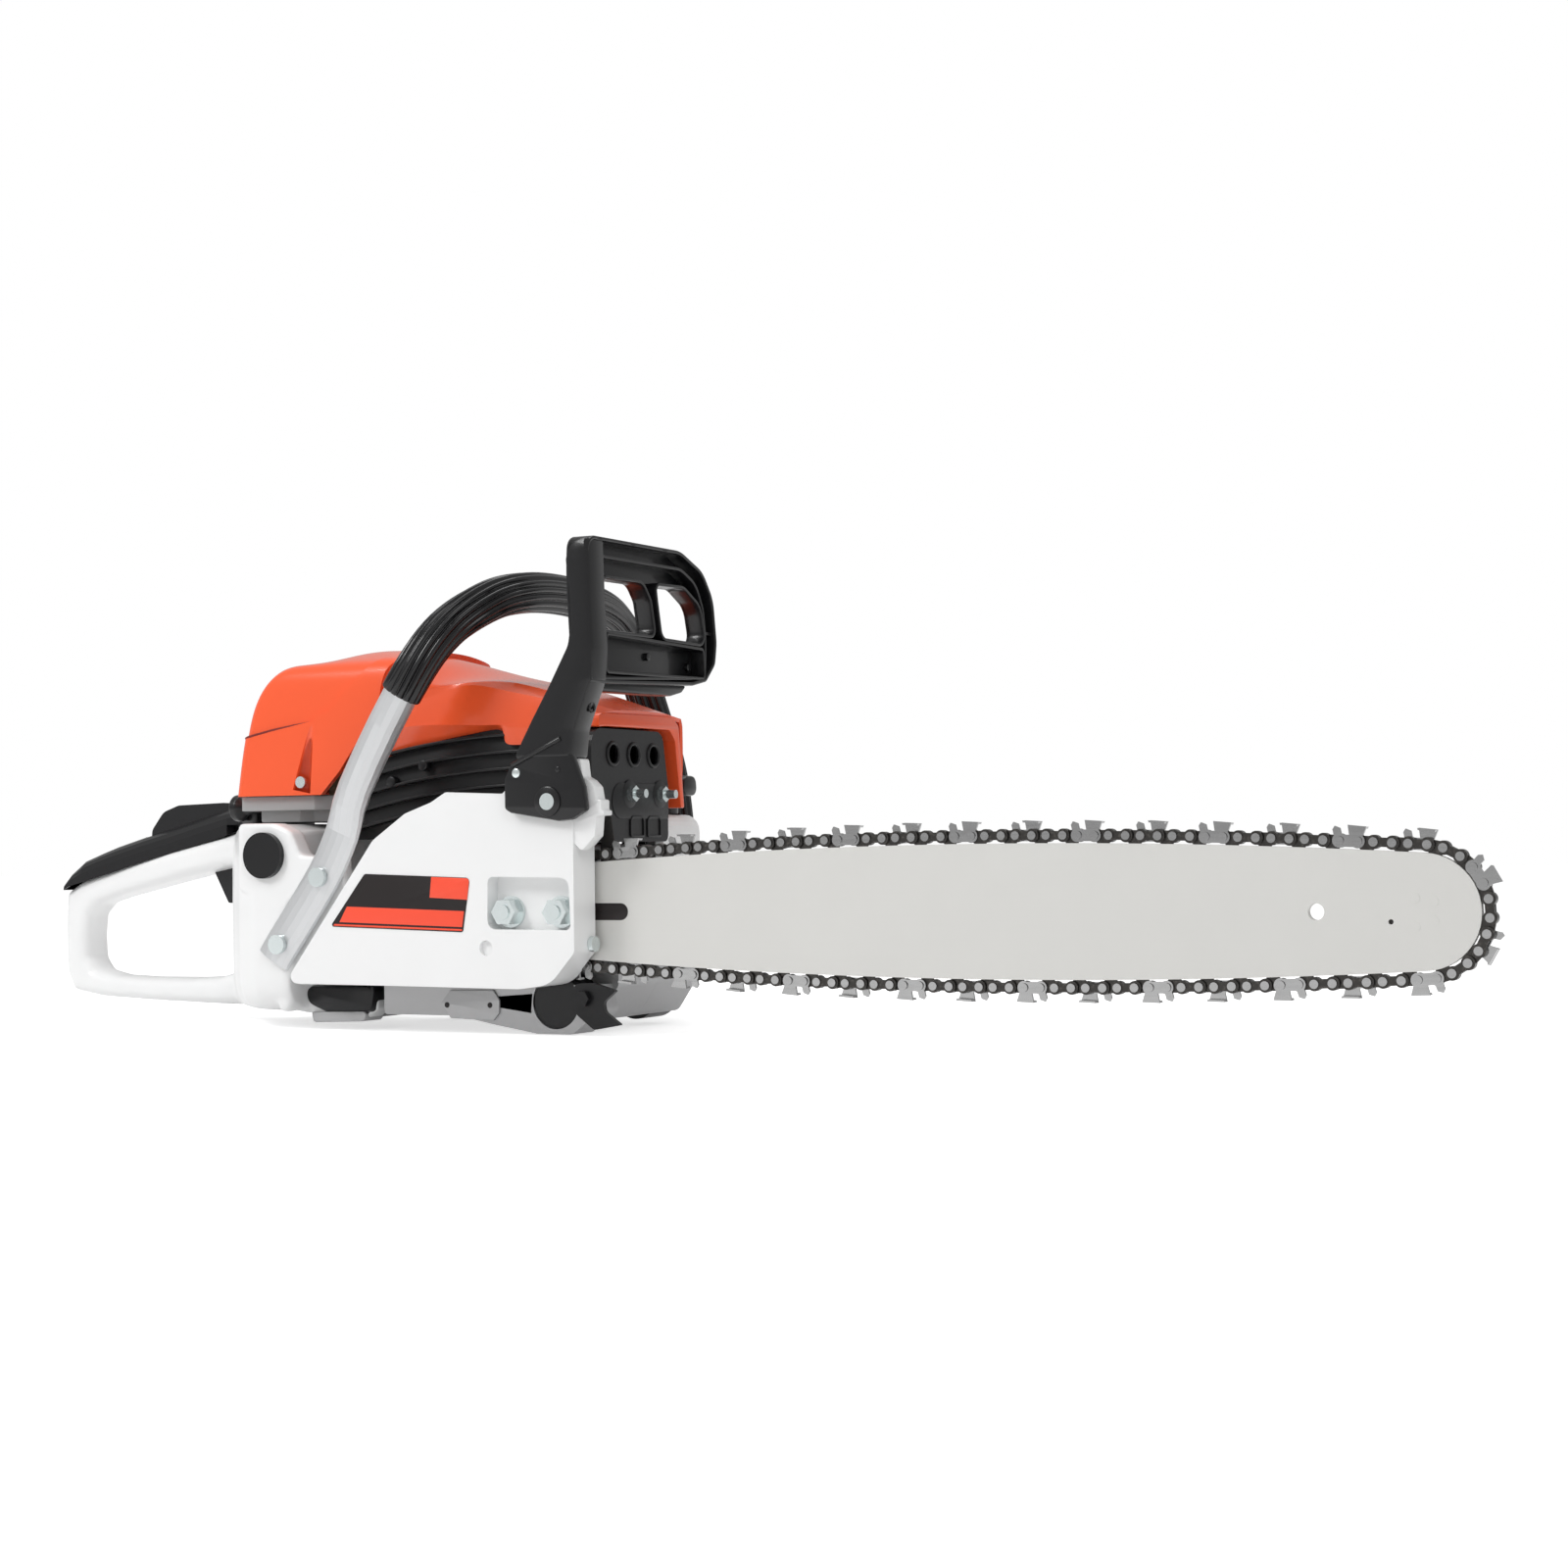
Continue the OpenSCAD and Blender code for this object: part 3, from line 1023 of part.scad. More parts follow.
// ---- Side cover ----
// The cover's outer face and its wider base share all corners but those at the rear.
cover_corners = [[18, 133.2, 5], [55, 131.6, 3], [60, 137, 3], [84, 139, 6], [93, 143, 4],
    [cover_front, 138, 4], [cover_front, 46, 4], [84, 28.5, 18], [64, 26, 12]];
cover_face = rounded(concat([[-84, 27.4, 6], [-89.9, 30.3, 4], [-25, 107.3, 12], [-4, 121, 10]],
    cover_corners));
cover_base = rounded(concat([[-88, 26.4, 6], [-97.5, 28, 4], [-37, 107.3, 12], [-15, 122, 10]],
    cover_corners));
cavity_corners = [[17, 129, 4], [50, 127.5, 3], [60, 132, 3], [cover_front - wall, 132, 3],
    [cover_front - wall, 47, 3], [82.5, 32, 15], [64, 29.4, 8]];
cover_cavity = rounded(concat([[-83.5, 30.6, 4], [-23, 104.2, 10], [-3, 117, 8]], cavity_corners));
base_cavity = rounded(concat([[-91, 30.6, 4], [-36, 103, 10], [-13.5, 118.5, 8]], cavity_corners));
cover_mid = -86;
cover_in = -71.2;
module side_cover() color([0.95, 0.95, 0.95])
    difference() {
        union() {
            along_y(cover_y, cover_mid) polygon(cover_face);
            along_y(cover_mid - 0.05, cover_in) polygon(cover_base);
            along_y(cover_in - 1, bar_y - bar_t / 2 - 0.05) polygon(rounded([[44, crank_z - 11, 3],
                [89, crank_z - 11, 3], [89, crank_z + 11, 3], [44, crank_z + 11, 3]]));
        }
        difference() {
            union() {
                along_y(cover_y + wall, cover_in + 1) polygon(cover_cavity);
                along_y(cover_mid + wall, cover_in + 1) polygon(base_cavity);
            }
            along_y(cover_y, cover_in + 2) polygon(rounded([[42, 54, 4], [98, 54, 2],
                [98, 89, 2], [42, 89, 4]]));
        }
        along_y(cover_y - 1, floor_y) polygon(rounded([[44.5, 58.2, 5], [97.4, 57.9, 3],
            [96.4, 86, 6], [45, 86.8, 3]]));
        along_y(-72.5, cover_in + 1) polygon([[90, crank_z - 40], [120, crank_z - 40],
            [120, crank_z + 38], [90, crank_z + 38]]);
        for (x = stud_x)
            rod_y(stud_r + 0.3, -100, -60, x, crank_z);
        rod_y(4.2, -100, cover_y + 6, 43.5, 48);
        rod_y(guard_pin_r + 0.02, -100, -86, guard_pivot[0], guard_pivot[1]);
        rod_x(2.55, 60, 120, tension_place[0], tension_place[1]);
    }
module cover_label() {
    t = 0.35;
    color([0.15, 0.15, 0.15]) along_y(cover_y - t, cover_y - 0.01)
        polygon(rounded([[-59.4, 58.8, 2], [29.3, 56.2, 2], [34.3, 86, 2], [-33.5, 88.4, 2]]));
    color([0.95, 0.25, 0.15]) along_y(cover_y - 2 * t, cover_y - t - 0.01) {
        polygon([[6.5, 75.4], [31, 74.6], [32.9, 86], [9.4, 86.8]]);
        polygon([[-48, 62.5], [28.4, 60], [30, 69], [-42.5, 71.6]]);
    }
}

// ---- Hand guard ----
guard_pivot = [87.9, 126.8];
guard_y = [-101, -95];
guard_side = rounded([[63, 122.5, 3], [58.5, 130, 2], [58.5, 143.7, 3], [66, 150, 3], [81, 178.5, 20],
    [96.5, 208, 12], [100.6, 222, 14], [97.5, 252, 12], [101, 267, 8], [114, 269, 3], [110, 243, 20],
    [115, 216, 16], [114, 188, 20], [107.5, 152, 12], [111.8, 126, 3], [107, 117.5, 3], [94.6, 116, 3]]);
guard_front = rounded([[-101, 150, 0], [-101, 269.5, 10], [15, 269.5, 12], [44, 258, 12], [54, 238, 12],
    [54, 214, 8], [43, 197.5, 4], [16, 189, 6], [-66, 189, 10], [-78, 176, 8], [-78, 150, 0]]);
guard_rim = rounded([[-74, 220, 3], [-74, 263, 8], [13, 263, 8], [40, 252, 8], [48, 237, 8], [48, 218, 3]]);
guard_windows = [[[-69, 222, 4], [-69, 247, 5], [-40, 247, 7], [-35, 232, 5], [-33, 220, 3]],
    [[-8, 218, 4], [-11, 247, 4], [16, 247, 9], [27, 234, 9], [27, 218, 5]]];
module hand_guard() color([0.14, 0.14, 0.15])
    difference() {
        union() {
            intersection() {
                along_y(-101, 54) polygon(guard_side);
                along_x(60, 125) polygon(guard_front);
            }
            along_y(guard_y[0], guard_y[1]) intersection() {
                polygon(guard_side);
                translate([50, 100]) square([80, 52]);
            }
            rod_y(8, guard_y[0] - 0.8, guard_y[1], guard_pivot[0], guard_pivot[1]);
        }
        for (w = guard_windows)
            along_x(60, 130) polygon(rounded(w));
        along_x(105, 130) difference() {
            polygon(guard_rim);
            for (w = guard_windows)
                offset(delta = guard_rib) polygon(rounded(w));
        }
        along_x(105, 130) polygon(rounded([[-66, 196, 2], [-66, 214, 2], [42, 214, 2],
            [42, 202, 4], [36, 196, 2]]));
        rod_y(guard_pin_r + run_gap, -110, -80, guard_pivot[0], guard_pivot[1]);
    }
module pivot_pins() color([0.78, 0.8, 0.78]) {
    rod_y(guard_pin_r, -102.3, -86.05, guard_pivot[0], guard_pivot[1]);
    rod_y(2, -8.9, 8.9, trigger_pivot[0], trigger_pivot[1]);
    rod_y(2, -8.9, 8.9, lever_pivot[0], lever_pivot[1]);
}

crankcase_right();
crankcase_left();
crankshaft();
crank_bearings();
connecting_rod();
rod_pins();
piston();
engine_cylinder();
spark_plug();
plug_lead();
ignition_coil();
flywheel();
starter_housing();
starter_pulley();
starter_rope();
starter_handle();
recoil_spring();
muffler_body();
muffler_cover();
muffler_nuts();
intake_boot();
carburetor();
air_box();
air_filter();
filter_cover();
cylinder_cover();
case_screws();
choke_knob();
rear_handle();
grip_cover();
throttle_trigger();
lockout_lever();
pivot_pins();
stop_switch();
fuel_cap();
oil_cap();
av_buffers();
front_handle();
handle_grip();
handle_screws();
side_cover();
cover_label();
brake_band();
hand_guard();
clutch_drum();
clutch_hub();
clutch_shoes();
oil_pump();
inner_plate();
bar_studs();
bar_nuts();
tension_screw();
guide_bar();
bar_rivets();
nose_sprocket();
drive_links();
tie_straps();
cutters();
chain_rivets();
bumper_spikes();
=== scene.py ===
"""Petrol chainsaw: finishes, dressed pieces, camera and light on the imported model."""

import json
import logging
import math
from dataclasses import dataclass
from enum import Enum
from typing import Callable, Iterable, Sequence

import bmesh
import bpy
from mathutils import Matrix, Vector

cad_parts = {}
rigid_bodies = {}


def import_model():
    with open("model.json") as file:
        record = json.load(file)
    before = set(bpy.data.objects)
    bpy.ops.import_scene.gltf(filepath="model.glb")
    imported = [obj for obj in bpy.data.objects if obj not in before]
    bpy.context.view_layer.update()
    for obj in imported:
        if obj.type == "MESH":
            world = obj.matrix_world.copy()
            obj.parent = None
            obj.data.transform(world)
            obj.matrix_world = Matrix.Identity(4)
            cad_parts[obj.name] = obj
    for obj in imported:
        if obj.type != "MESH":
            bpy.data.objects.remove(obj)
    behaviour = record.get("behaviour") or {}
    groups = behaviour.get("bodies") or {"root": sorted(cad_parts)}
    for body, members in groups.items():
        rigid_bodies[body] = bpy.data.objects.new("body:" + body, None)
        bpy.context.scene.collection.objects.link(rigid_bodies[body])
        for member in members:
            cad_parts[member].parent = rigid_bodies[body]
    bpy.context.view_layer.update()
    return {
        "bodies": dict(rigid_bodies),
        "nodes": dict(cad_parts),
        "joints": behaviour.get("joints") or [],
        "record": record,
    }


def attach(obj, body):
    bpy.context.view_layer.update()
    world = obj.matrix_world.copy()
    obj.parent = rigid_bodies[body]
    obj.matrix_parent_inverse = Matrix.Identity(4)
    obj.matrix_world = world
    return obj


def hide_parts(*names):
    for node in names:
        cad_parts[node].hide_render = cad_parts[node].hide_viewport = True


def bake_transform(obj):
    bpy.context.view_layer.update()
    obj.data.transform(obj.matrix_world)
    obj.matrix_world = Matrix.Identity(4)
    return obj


log = logging.getLogger("chainsaw")
MM = 0.001
Point = tuple[float, float, float]
# A corner of an outline: two places and the radius of its rounding.
Corner = tuple[float, float, float]
Corners = tuple[Corner, ...]
# Values along one direction: where, and how much.
Keys = tuple[tuple[float, float], ...]


# ---------------------------------------------------------------- finishes


COAT_ROUGHNESS = 0.06
BROAD_SCALE, BROAD_DETAIL = 28, 3
WORN_FROM, WORN_TO = 0.52, 0.72


class Grain(Enum):
    """Which small-scale surface a finish shows."""

    SMOOTH = "smooth"
    MOULDED = "moulded"
    CAST = "cast"
    TURNED = "turned"
    GROUND = "ground"
    FELT = "felt"


@dataclass(frozen=True)
class Finish:
    """One surface finish.

    Args:
        name: Name of the material.
        slot: The record's material slot it stands for. Not used.
        colour: Base colour, linear.
        roughness: Mean roughness.
        metallic: Share of metal.
        coat: Weight of a clear coat.
        grain: Small-scale surface.
        depth: Height of the grain in metres.
        mottle: Share by which the colour varies.
        tint: Colour that shows where the surface is worn or dusty.
        wear: Share of the tint.
        shine: Specular level.
    """

    name: str
    slot: str
    colour: Point
    roughness: float
    metallic: float = 0.0
    coat: float = 0.0
    grain: Grain = Grain.MOULDED
    depth: float = 0.00002
    mottle: float = 0.04
    tint: Point = (0.5, 0.5, 0.5)
    wear: float = 0.0
    shine: float = 0.5

    def build(self) -> bpy.types.Material:
        """Makes the material.

        Returns:
            A node-based material on object coordinates.
        """
        mat = bpy.data.materials.new(self.name)
        mat.use_nodes = True
        tree = mat.node_tree
        shader = tree.nodes["Principled BSDF"]
        shader.inputs["Metallic"].default_value = self.metallic
        shader.inputs["Coat Weight"].default_value = self.coat
        shader.inputs["Coat Roughness"].default_value = COAT_ROUGHNESS
        shader.inputs["Specular IOR Level"].default_value = self.shine
        coords = tree.nodes.new("ShaderNodeTexCoord")
        effect = tree.nodes.new("ShaderNodeGroup")
        effect.node_tree = grain_group(self.grain)
        tree.links.new(coords.outputs["Object"], effect.inputs["Place"])
        given = {"Colour": (*self.colour, 1), "Tint": (*self.tint, 1), "Mottle": self.mottle,
                 "Wear": self.wear, "Roughness": self.roughness, "Depth": self.depth}
        for socket, value in given.items():
            effect.inputs[socket].default_value = value
        for output, socket in (("Colour", "Base Color"), ("Roughness", "Roughness"), ("Normal", "Normal")):
            tree.links.new(effect.outputs[output], shader.inputs[socket])
        return mat


@dataclass(frozen=True)
class GrainShape:
    """How a grain's noise is stretched.

    Args:
        scale: Noise scale per metre along X, Y and Z.
        detail: Octaves of the noise.
        spread: How far the roughness moves with the grain.
    """

    scale: Point
    detail: float
    spread: float


GRAINS: dict[Grain, GrainShape] = {
    Grain.SMOOTH: GrainShape((90, 90, 90), 2, 0.03),
    Grain.MOULDED: GrainShape((900, 900, 900), 3, 0.08),
    Grain.CAST: GrainShape((520, 520, 520), 6, 0.15),
    Grain.TURNED: GrainShape((900, 70, 900), 3, 0.12),
    Grain.GROUND: GrainShape((14, 900, 700), 4, 0.14),
    Grain.FELT: GrainShape((1600, 1600, 1600), 8, 0.1),
}


def grain_group(grain: Grain) -> bpy.types.NodeTree:
    """Finds or makes the shared node group of a grain.

    Args:
        grain: The grain wanted.

    Returns:
        A group that gives a colour, a roughness and a normal.
    """
    name = f"grain_{grain.value}"
    if name in bpy.data.node_groups:
        return bpy.data.node_groups[name]
    shape = GRAINS[grain]
    tree = bpy.data.node_groups.new(name, "ShaderNodeTree")
    face = tree.interface
    for socket, side, kind in (
            ("Place", "INPUT", "Vector"), ("Colour", "INPUT", "Color"), ("Tint", "INPUT", "Color"),
            ("Mottle", "INPUT", "Float"), ("Wear", "INPUT", "Float"), ("Roughness", "INPUT", "Float"),
            ("Depth", "INPUT", "Float"), ("Colour", "OUTPUT", "Color"), ("Roughness", "OUTPUT", "Float"),
            ("Normal", "OUTPUT", "Vector")):
        face.new_socket(socket, in_out=side, socket_type=f"NodeSocket{kind}")
    put, link = tree.nodes.new, tree.links.new
    given, result = put("NodeGroupInput"), put("NodeGroupOutput")
    stretch = put("ShaderNodeMapping")
    stretch.inputs["Scale"].default_value = shape.scale
    link(given.outputs["Place"], stretch.inputs["Vector"])
    fine, broad = put("ShaderNodeTexNoise"), put("ShaderNodeTexNoise")
    fine.inputs["Scale"].default_value = 1
    fine.inputs["Detail"].default_value = shape.detail
    broad.inputs["Scale"].default_value = BROAD_SCALE
    broad.inputs["Detail"].default_value = BROAD_DETAIL
    link(stretch.outputs["Vector"], fine.inputs["Vector"])
    link(given.outputs["Place"], broad.inputs["Vector"])

    def maths(operation: str, first: bpy.types.NodeSocket | float,
              second: bpy.types.NodeSocket | float) -> bpy.types.NodeSocket:
        """Adds a Math node and gives its output.

        Args:
            operation: Its operation.
            first: First socket or number.
            second: Second socket or number.

        Returns:
            The result's socket.
        """
        node = put("ShaderNodeMath")
        node.operation = operation
        for socket, value in zip(node.inputs, (first, second)):
            if isinstance(value, bpy.types.NodeSocket):
                link(value, socket)
            else:
                socket.default_value = value
        return node.outputs[0]

    swing = maths("SUBTRACT", broad.outputs["Fac"], 0.5)
    shade = maths("ADD", 1.0, maths("MULTIPLY", swing, given.outputs["Mottle"]))
    tone = put("ShaderNodeVectorMath")
    tone.operation = "SCALE"
    link(given.outputs["Colour"], tone.inputs[0])
    link(shade, tone.inputs["Scale"])
    blotch = put("ShaderNodeMapRange")
    blotch.inputs["From Min"].default_value = WORN_FROM
    blotch.inputs["From Max"].default_value = WORN_TO
    link(fine.outputs["Fac"], blotch.inputs["Value"])
    mix = put("ShaderNodeMix")
    mix.data_type = "RGBA"
    link(maths("MULTIPLY", blotch.outputs["Result"], given.outputs["Wear"]), mix.inputs["Factor"])
    link(tone.outputs["Vector"], mix.inputs["A"])
    link(given.outputs["Tint"], mix.inputs["B"])
    link(mix.outputs["Result"], result.inputs["Colour"])
    rough = maths("MULTIPLY", maths("SUBTRACT", fine.outputs["Fac"], 0.5), shape.spread)
    link(maths("ADD", given.outputs["Roughness"], rough), result.inputs["Roughness"])
    bump = put("ShaderNodeBump")
    bump.inputs["Strength"].default_value = 1
    link(given.outputs["Depth"], bump.inputs["Distance"])
    link(fine.outputs["Fac"], bump.inputs["Height"])
    link(bump.outputs["Normal"], result.inputs["Normal"])
    return tree


ORANGE = Finish("orange_gloss", "orange_plastic", (1.0, 0.12, 0.034), 0.22, coat=0.4, depth=0.000004,
                shine=0.35)
WHITE = Finish("white_gloss", "white_plastic", (0.93, 0.935, 0.935), 0.32, coat=0.25, depth=0.000008)
BLACK = Finish("black_satin", "black_plastic", (0.008, 0.008, 0.009), 0.3, coat=0.3, depth=0.00001,
               shine=0.3)
# Painted shadow: this dark orange colours the bead that stands for the shadow in the step along the hood's
# seam.
SEAM_SHADOW = Finish("painted_seam_shadow", "orange_plastic", (0.2, 0.008, 0.002), 0.5)
GREY = Finish("grey_matt", "grey_plastic", (0.36, 0.36, 0.36), 0.45)
RED = Finish("red_gloss", "red_plastic", (0.6, 0.02, 0.015), 0.3)
GRIP = Finish("grip_gloss", "black_rubber", (0.005, 0.005, 0.006), 0.2, coat=0.4, depth=0.000004,
              shine=0.3)
RUBBER = Finish("black_rubber", "black_rubber", (0.007, 0.007, 0.008), 0.34, coat=0.15, depth=0.00002,
                shine=0.3)
TUBE = Finish("tube_satin", "tube_metal", (0.66, 0.67, 0.68), 0.36, 0.55, grain=Grain.SMOOTH)
CASE = Finish("case_cast", "case_metal", (0.46, 0.46, 0.465), 0.4, 0.6, grain=Grain.CAST, depth=0.00006)
STEEL = Finish("steel_turned", "machined_steel", (0.5, 0.5, 0.5), 0.28, 1.0, grain=Grain.TURNED)
ZINC = Finish("zinc_plate", "zinc_steel", (0.72, 0.78, 0.78), 0.25, 0.9, grain=Grain.SMOOTH, mottle=0.1)
BAR = Finish("bar_ground", "bar_steel", (0.72, 0.715, 0.69), 0.5, 0.35, grain=Grain.GROUND, depth=0.000004)
CHAIN = Finish("chain_blued", "chain_steel", (0.06, 0.057, 0.054), 0.3, 0.9, grain=Grain.CAST,
               depth=0.00002, tint=(0.24, 0.22, 0.2), wear=0.3)
CHROME = Finish("cutter_chrome", "cutter_chrome", (0.4, 0.4, 0.4), 0.16, 1.0, grain=Grain.GROUND,
                depth=0.000004, mottle=0.25)
HOT = Finish("heatproof_black", "black_metal", (0.009, 0.009, 0.01), 0.4, coat=0.1, grain=Grain.CAST,
             depth=0.00003, shine=0.3)
DARK = Finish("dark_steel", "dark_steel", (0.05, 0.048, 0.046), 0.4, 0.85, grain=Grain.TURNED)
ALLOY = Finish("piston_alloy", "piston_alloy", (0.6, 0.6, 0.62), 0.3, 1.0, grain=Grain.TURNED)
FELT = Finish("filter_felt", "filter_felt", (0.62, 0.55, 0.36), 0.85, grain=Grain.FELT, depth=0.0002)
CORD = Finish("rope_braid", "rope_cord", (0.7, 0.7, 0.66), 0.7, grain=Grain.FELT, depth=0.0002)
PRINT = Finish("label_black", "label_print", (0.02, 0.016, 0.016), 0.35, grain=Grain.SMOOTH, shine=0.3)
PRINT_RED = Finish("label_red", "label_print", (1.0, 0.085, 0.035), 0.4, grain=Grain.SMOOTH)
CERAMIC = Finish("glazed_white", "ceramic", (0.75, 0.74, 0.7), 0.15, coat=0.6, grain=Grain.SMOOTH)


class Paint:
    """Keeps one material for each finish."""

    def __init__(self) -> None:
        """Starts without materials."""
        self._made: dict[str, bpy.types.Material] = {}

    def get(self, finish: Finish) -> bpy.types.Material:
        """Finds or makes a finish's material.

        Args:
            finish: The finish wanted.

        Returns:
            Its material.
        """
        if finish.name not in self._made:
            self._made[finish.name] = finish.build()
        return self._made[finish.name]


# ---------------------------------------------------------------- camera and light


@dataclass(frozen=True)
class Lamp:
    """A soft rectangular lamp.

    Args:
        name: Name of the lamp.
        place: Where it stands.
        aim: The point it faces.
        size: Width and height in metres.
        power: Power in watts.
    """

    name: str
    place: Point
    aim: Point
    size: tuple[float, float]
    power: float

    def build(self) -> None:
        """Adds the lamp."""
        data = bpy.data.lights.new(self.name, "AREA")
        data.shape = "RECTANGLE"
        data.size, data.size_y = self.size
        data.energy = self.power
        lamp = bpy.data.objects.new(self.name, data)
        lamp.location = self.place
        lamp.rotation_euler = (Vector(self.aim) - Vector(self.place)).to_track_quat("-Z", "Y").to_euler()
        bpy.context.scene.collection.objects.link(lamp)


@dataclass(frozen=True)
class Glow:
    """Strengths of a surface or a world that shines.

    Args:
        plain: Strength as light.
        camera: Strength as seen directly or through glass.
        mirror: Strength as seen in a reflection.
    """

    plain: float
    camera: float
    mirror: float


@dataclass(frozen=True)
class Studio:
    """Camera, floor and soft light.

    Args:
        eye: Place of the camera.
        right: The picture's right in space.
        up: The picture's up in space.
        lens: Focal length in millimetres.
        sensor: Width of the sensor in millimetres.
        floor_half: Half the floor's side.
        floor_z: Height of the floor, just under the object.
        floor_grey: Colour of the floor.
        floor_glow: The floor's own shine.
        world_glow: Strength of the surroundings.
        lamps: The lamps.
    """

    eye: Point = (0.8614, -1.3378, 0.1023)
    right: Point = (0.89039, 0.45505, -0.01151)
    up: Point = (0.02041, -0.01464, 0.99968)
    lens: float = 62.48
    sensor: float = 36.0
    floor_half: float = 8.0
    floor_z: float = -0.0005
    floor_grey: float = 0.9
    floor_glow: Glow = Glow(0.0, 0.62, 0.3)
    world_glow: Glow = Glow(0.5, 1.0, 0.5)
    lamps: tuple[Lamp, ...] = (
        Lamp("key", (-1.0, -1.7, 1.5), (0, 0, 0.1), (0.6, 0.6), 14),
        Lamp("fill", (1.4, -1.2, 1.2), (0.2, 0, 0.05), (1.0, 0.8), 5),
        Lamp("spark", (-0.8, -0.95, 1.3), (0, -0.03, 0.2), (0.16, 0.7), 3),
        Lamp("top", (-0.2, 0.1, 1.6), (0.1, 0, 0), (1.6, 0.5), 6))

    def camera(self) -> None:
        """Adds the camera."""
        data = bpy.data.cameras.new("camera")
        data.lens = self.lens
        data.sensor_width = self.sensor
        camera = bpy.data.objects.new("camera", data)
        right, up = Vector(self.right).normalized(), Vector(self.up).normalized()
        back = right.cross(up).normalized()
        turn = Matrix((right, back.cross(right), back)).transposed().to_4x4()
        camera.matrix_world = Matrix.Translation(Vector(self.eye)) @ turn
        bpy.context.scene.collection.objects.link(camera)
        bpy.context.scene.camera = camera

    def build(self) -> None:
        """Adds the floor, the world's light and the lamps."""
        floor = mesh_piece("floor", grid_plane(self.floor_half, self.floor_z))
        paper = bpy.data.materials.new("paper")
        paper.use_nodes = True
        shader = paper.node_tree.nodes["Principled BSDF"]
        shader.inputs["Base Color"].default_value = (*[self.floor_grey] * 3, 1)
        shader.inputs["Roughness"].default_value = 0.9
        shader.inputs["Emission Color"].default_value = (1, 1, 1, 1)
        paper.node_tree.links.new(self.seen(paper.node_tree, self.floor_glow),
                                  shader.inputs["Emission Strength"])
        floor.data.materials.append(paper)
        world = bpy.data.worlds.new("studio")
        world.use_nodes = True
        background = world.node_tree.nodes["Background"]
        background.inputs["Color"].default_value = (1, 1, 1, 1)
        world.node_tree.links.new(self.seen(world.node_tree, self.world_glow), background.inputs["Strength"])
        bpy.context.scene.world = world
        bpy.context.scene.view_settings.view_transform = "Standard"
        for lamp in self.lamps:
            lamp.build()

    @staticmethod
    def seen(tree: bpy.types.NodeTree, glow: Glow) -> bpy.types.NodeSocket:
        """A strength that differs for what is seen and for the light on the object.

        Args:
            tree: Node tree that the nodes go into.
            glow: The strengths.

        Returns:
            The socket that puts the strength out.
        """
        path = tree.nodes.new("ShaderNodeLightPath")
        total: bpy.types.NodeSocket | None = None
        for output, gain in (("Is Camera Ray", glow.camera), ("Is Transmission Ray", glow.camera),
                             ("Is Glossy Ray", glow.mirror)):
            scaled = tree.nodes.new("ShaderNodeMath")
            scaled.operation = "MULTIPLY_ADD"
            scaled.inputs[1].default_value = gain - glow.plain
            scaled.inputs[2].default_value = glow.plain
            tree.links.new(path.outputs[output], scaled.inputs[0])
            if total is None:
                total = scaled.outputs[0]
                continue
            most = tree.nodes.new("ShaderNodeMath")
            most.operation = "MAXIMUM"
            tree.links.new(total, most.inputs[0])
            tree.links.new(scaled.outputs[0], most.inputs[1])
            total = most.outputs[0]
        return total


# ---------------------------------------------------------------- mesh tools


SOFT_ANGLE = 30
SLAB_ANGLE, ROD_ANGLE = 35, 40
LIP_STEPS, LIP_SIDES = 48, 12
LEAST_RADIUS, LEAST_TURN = 0.05, 0.02


def mesh_piece(name: str, bm: bmesh.types.BMesh, smooth: bool = False) -> bpy.types.Object:
    """Makes an object of a bmesh and frees the bmesh.

    Args:
        name: Name of the object and its mesh.
        bm: The shape in metres, in the frame.
        smooth: Whether faces shade smooth.

    Returns:
        The linked object.
    """
    bmesh.ops.recalc_face_normals(bm, faces=bm.faces)
    for face in bm.faces:
        face.smooth = smooth
    mesh = bpy.data.meshes.new(name)
    bm.to_mesh(mesh)
    bm.free()
    piece = bpy.data.objects.new(name, mesh)
    bpy.context.scene.collection.objects.link(piece)
    return piece


def grid_plane(half: float, z: float) -> bmesh.types.BMesh:
    """A square at one height.

    Args:
        half: Half the side's length.
        z: Height.

    Returns:
        The square.
    """
    bm = bmesh.new()
    bmesh.ops.create_grid(bm, x_segments=1, y_segments=1, size=half)
    bmesh.ops.translate(bm, verts=bm.verts, vec=(0, 0, z))
    return bm


def soften(piece: bpy.types.Object, width: float) -> None:
    """Rounds a piece's sharp edges.

    Args:
        piece: The piece.
        width: Width of the rounding in millimetres.
    """
    bevel = piece.modifiers.new("bevel", "BEVEL")
    bevel.width = width * MM
    bevel.segments = 3
    bevel.limit_method = "ANGLE"
    bevel.angle_limit = math.radians(SOFT_ANGLE)
    bevel.harden_normals = False
    bevel.miter_outer = "MITER_ARC"


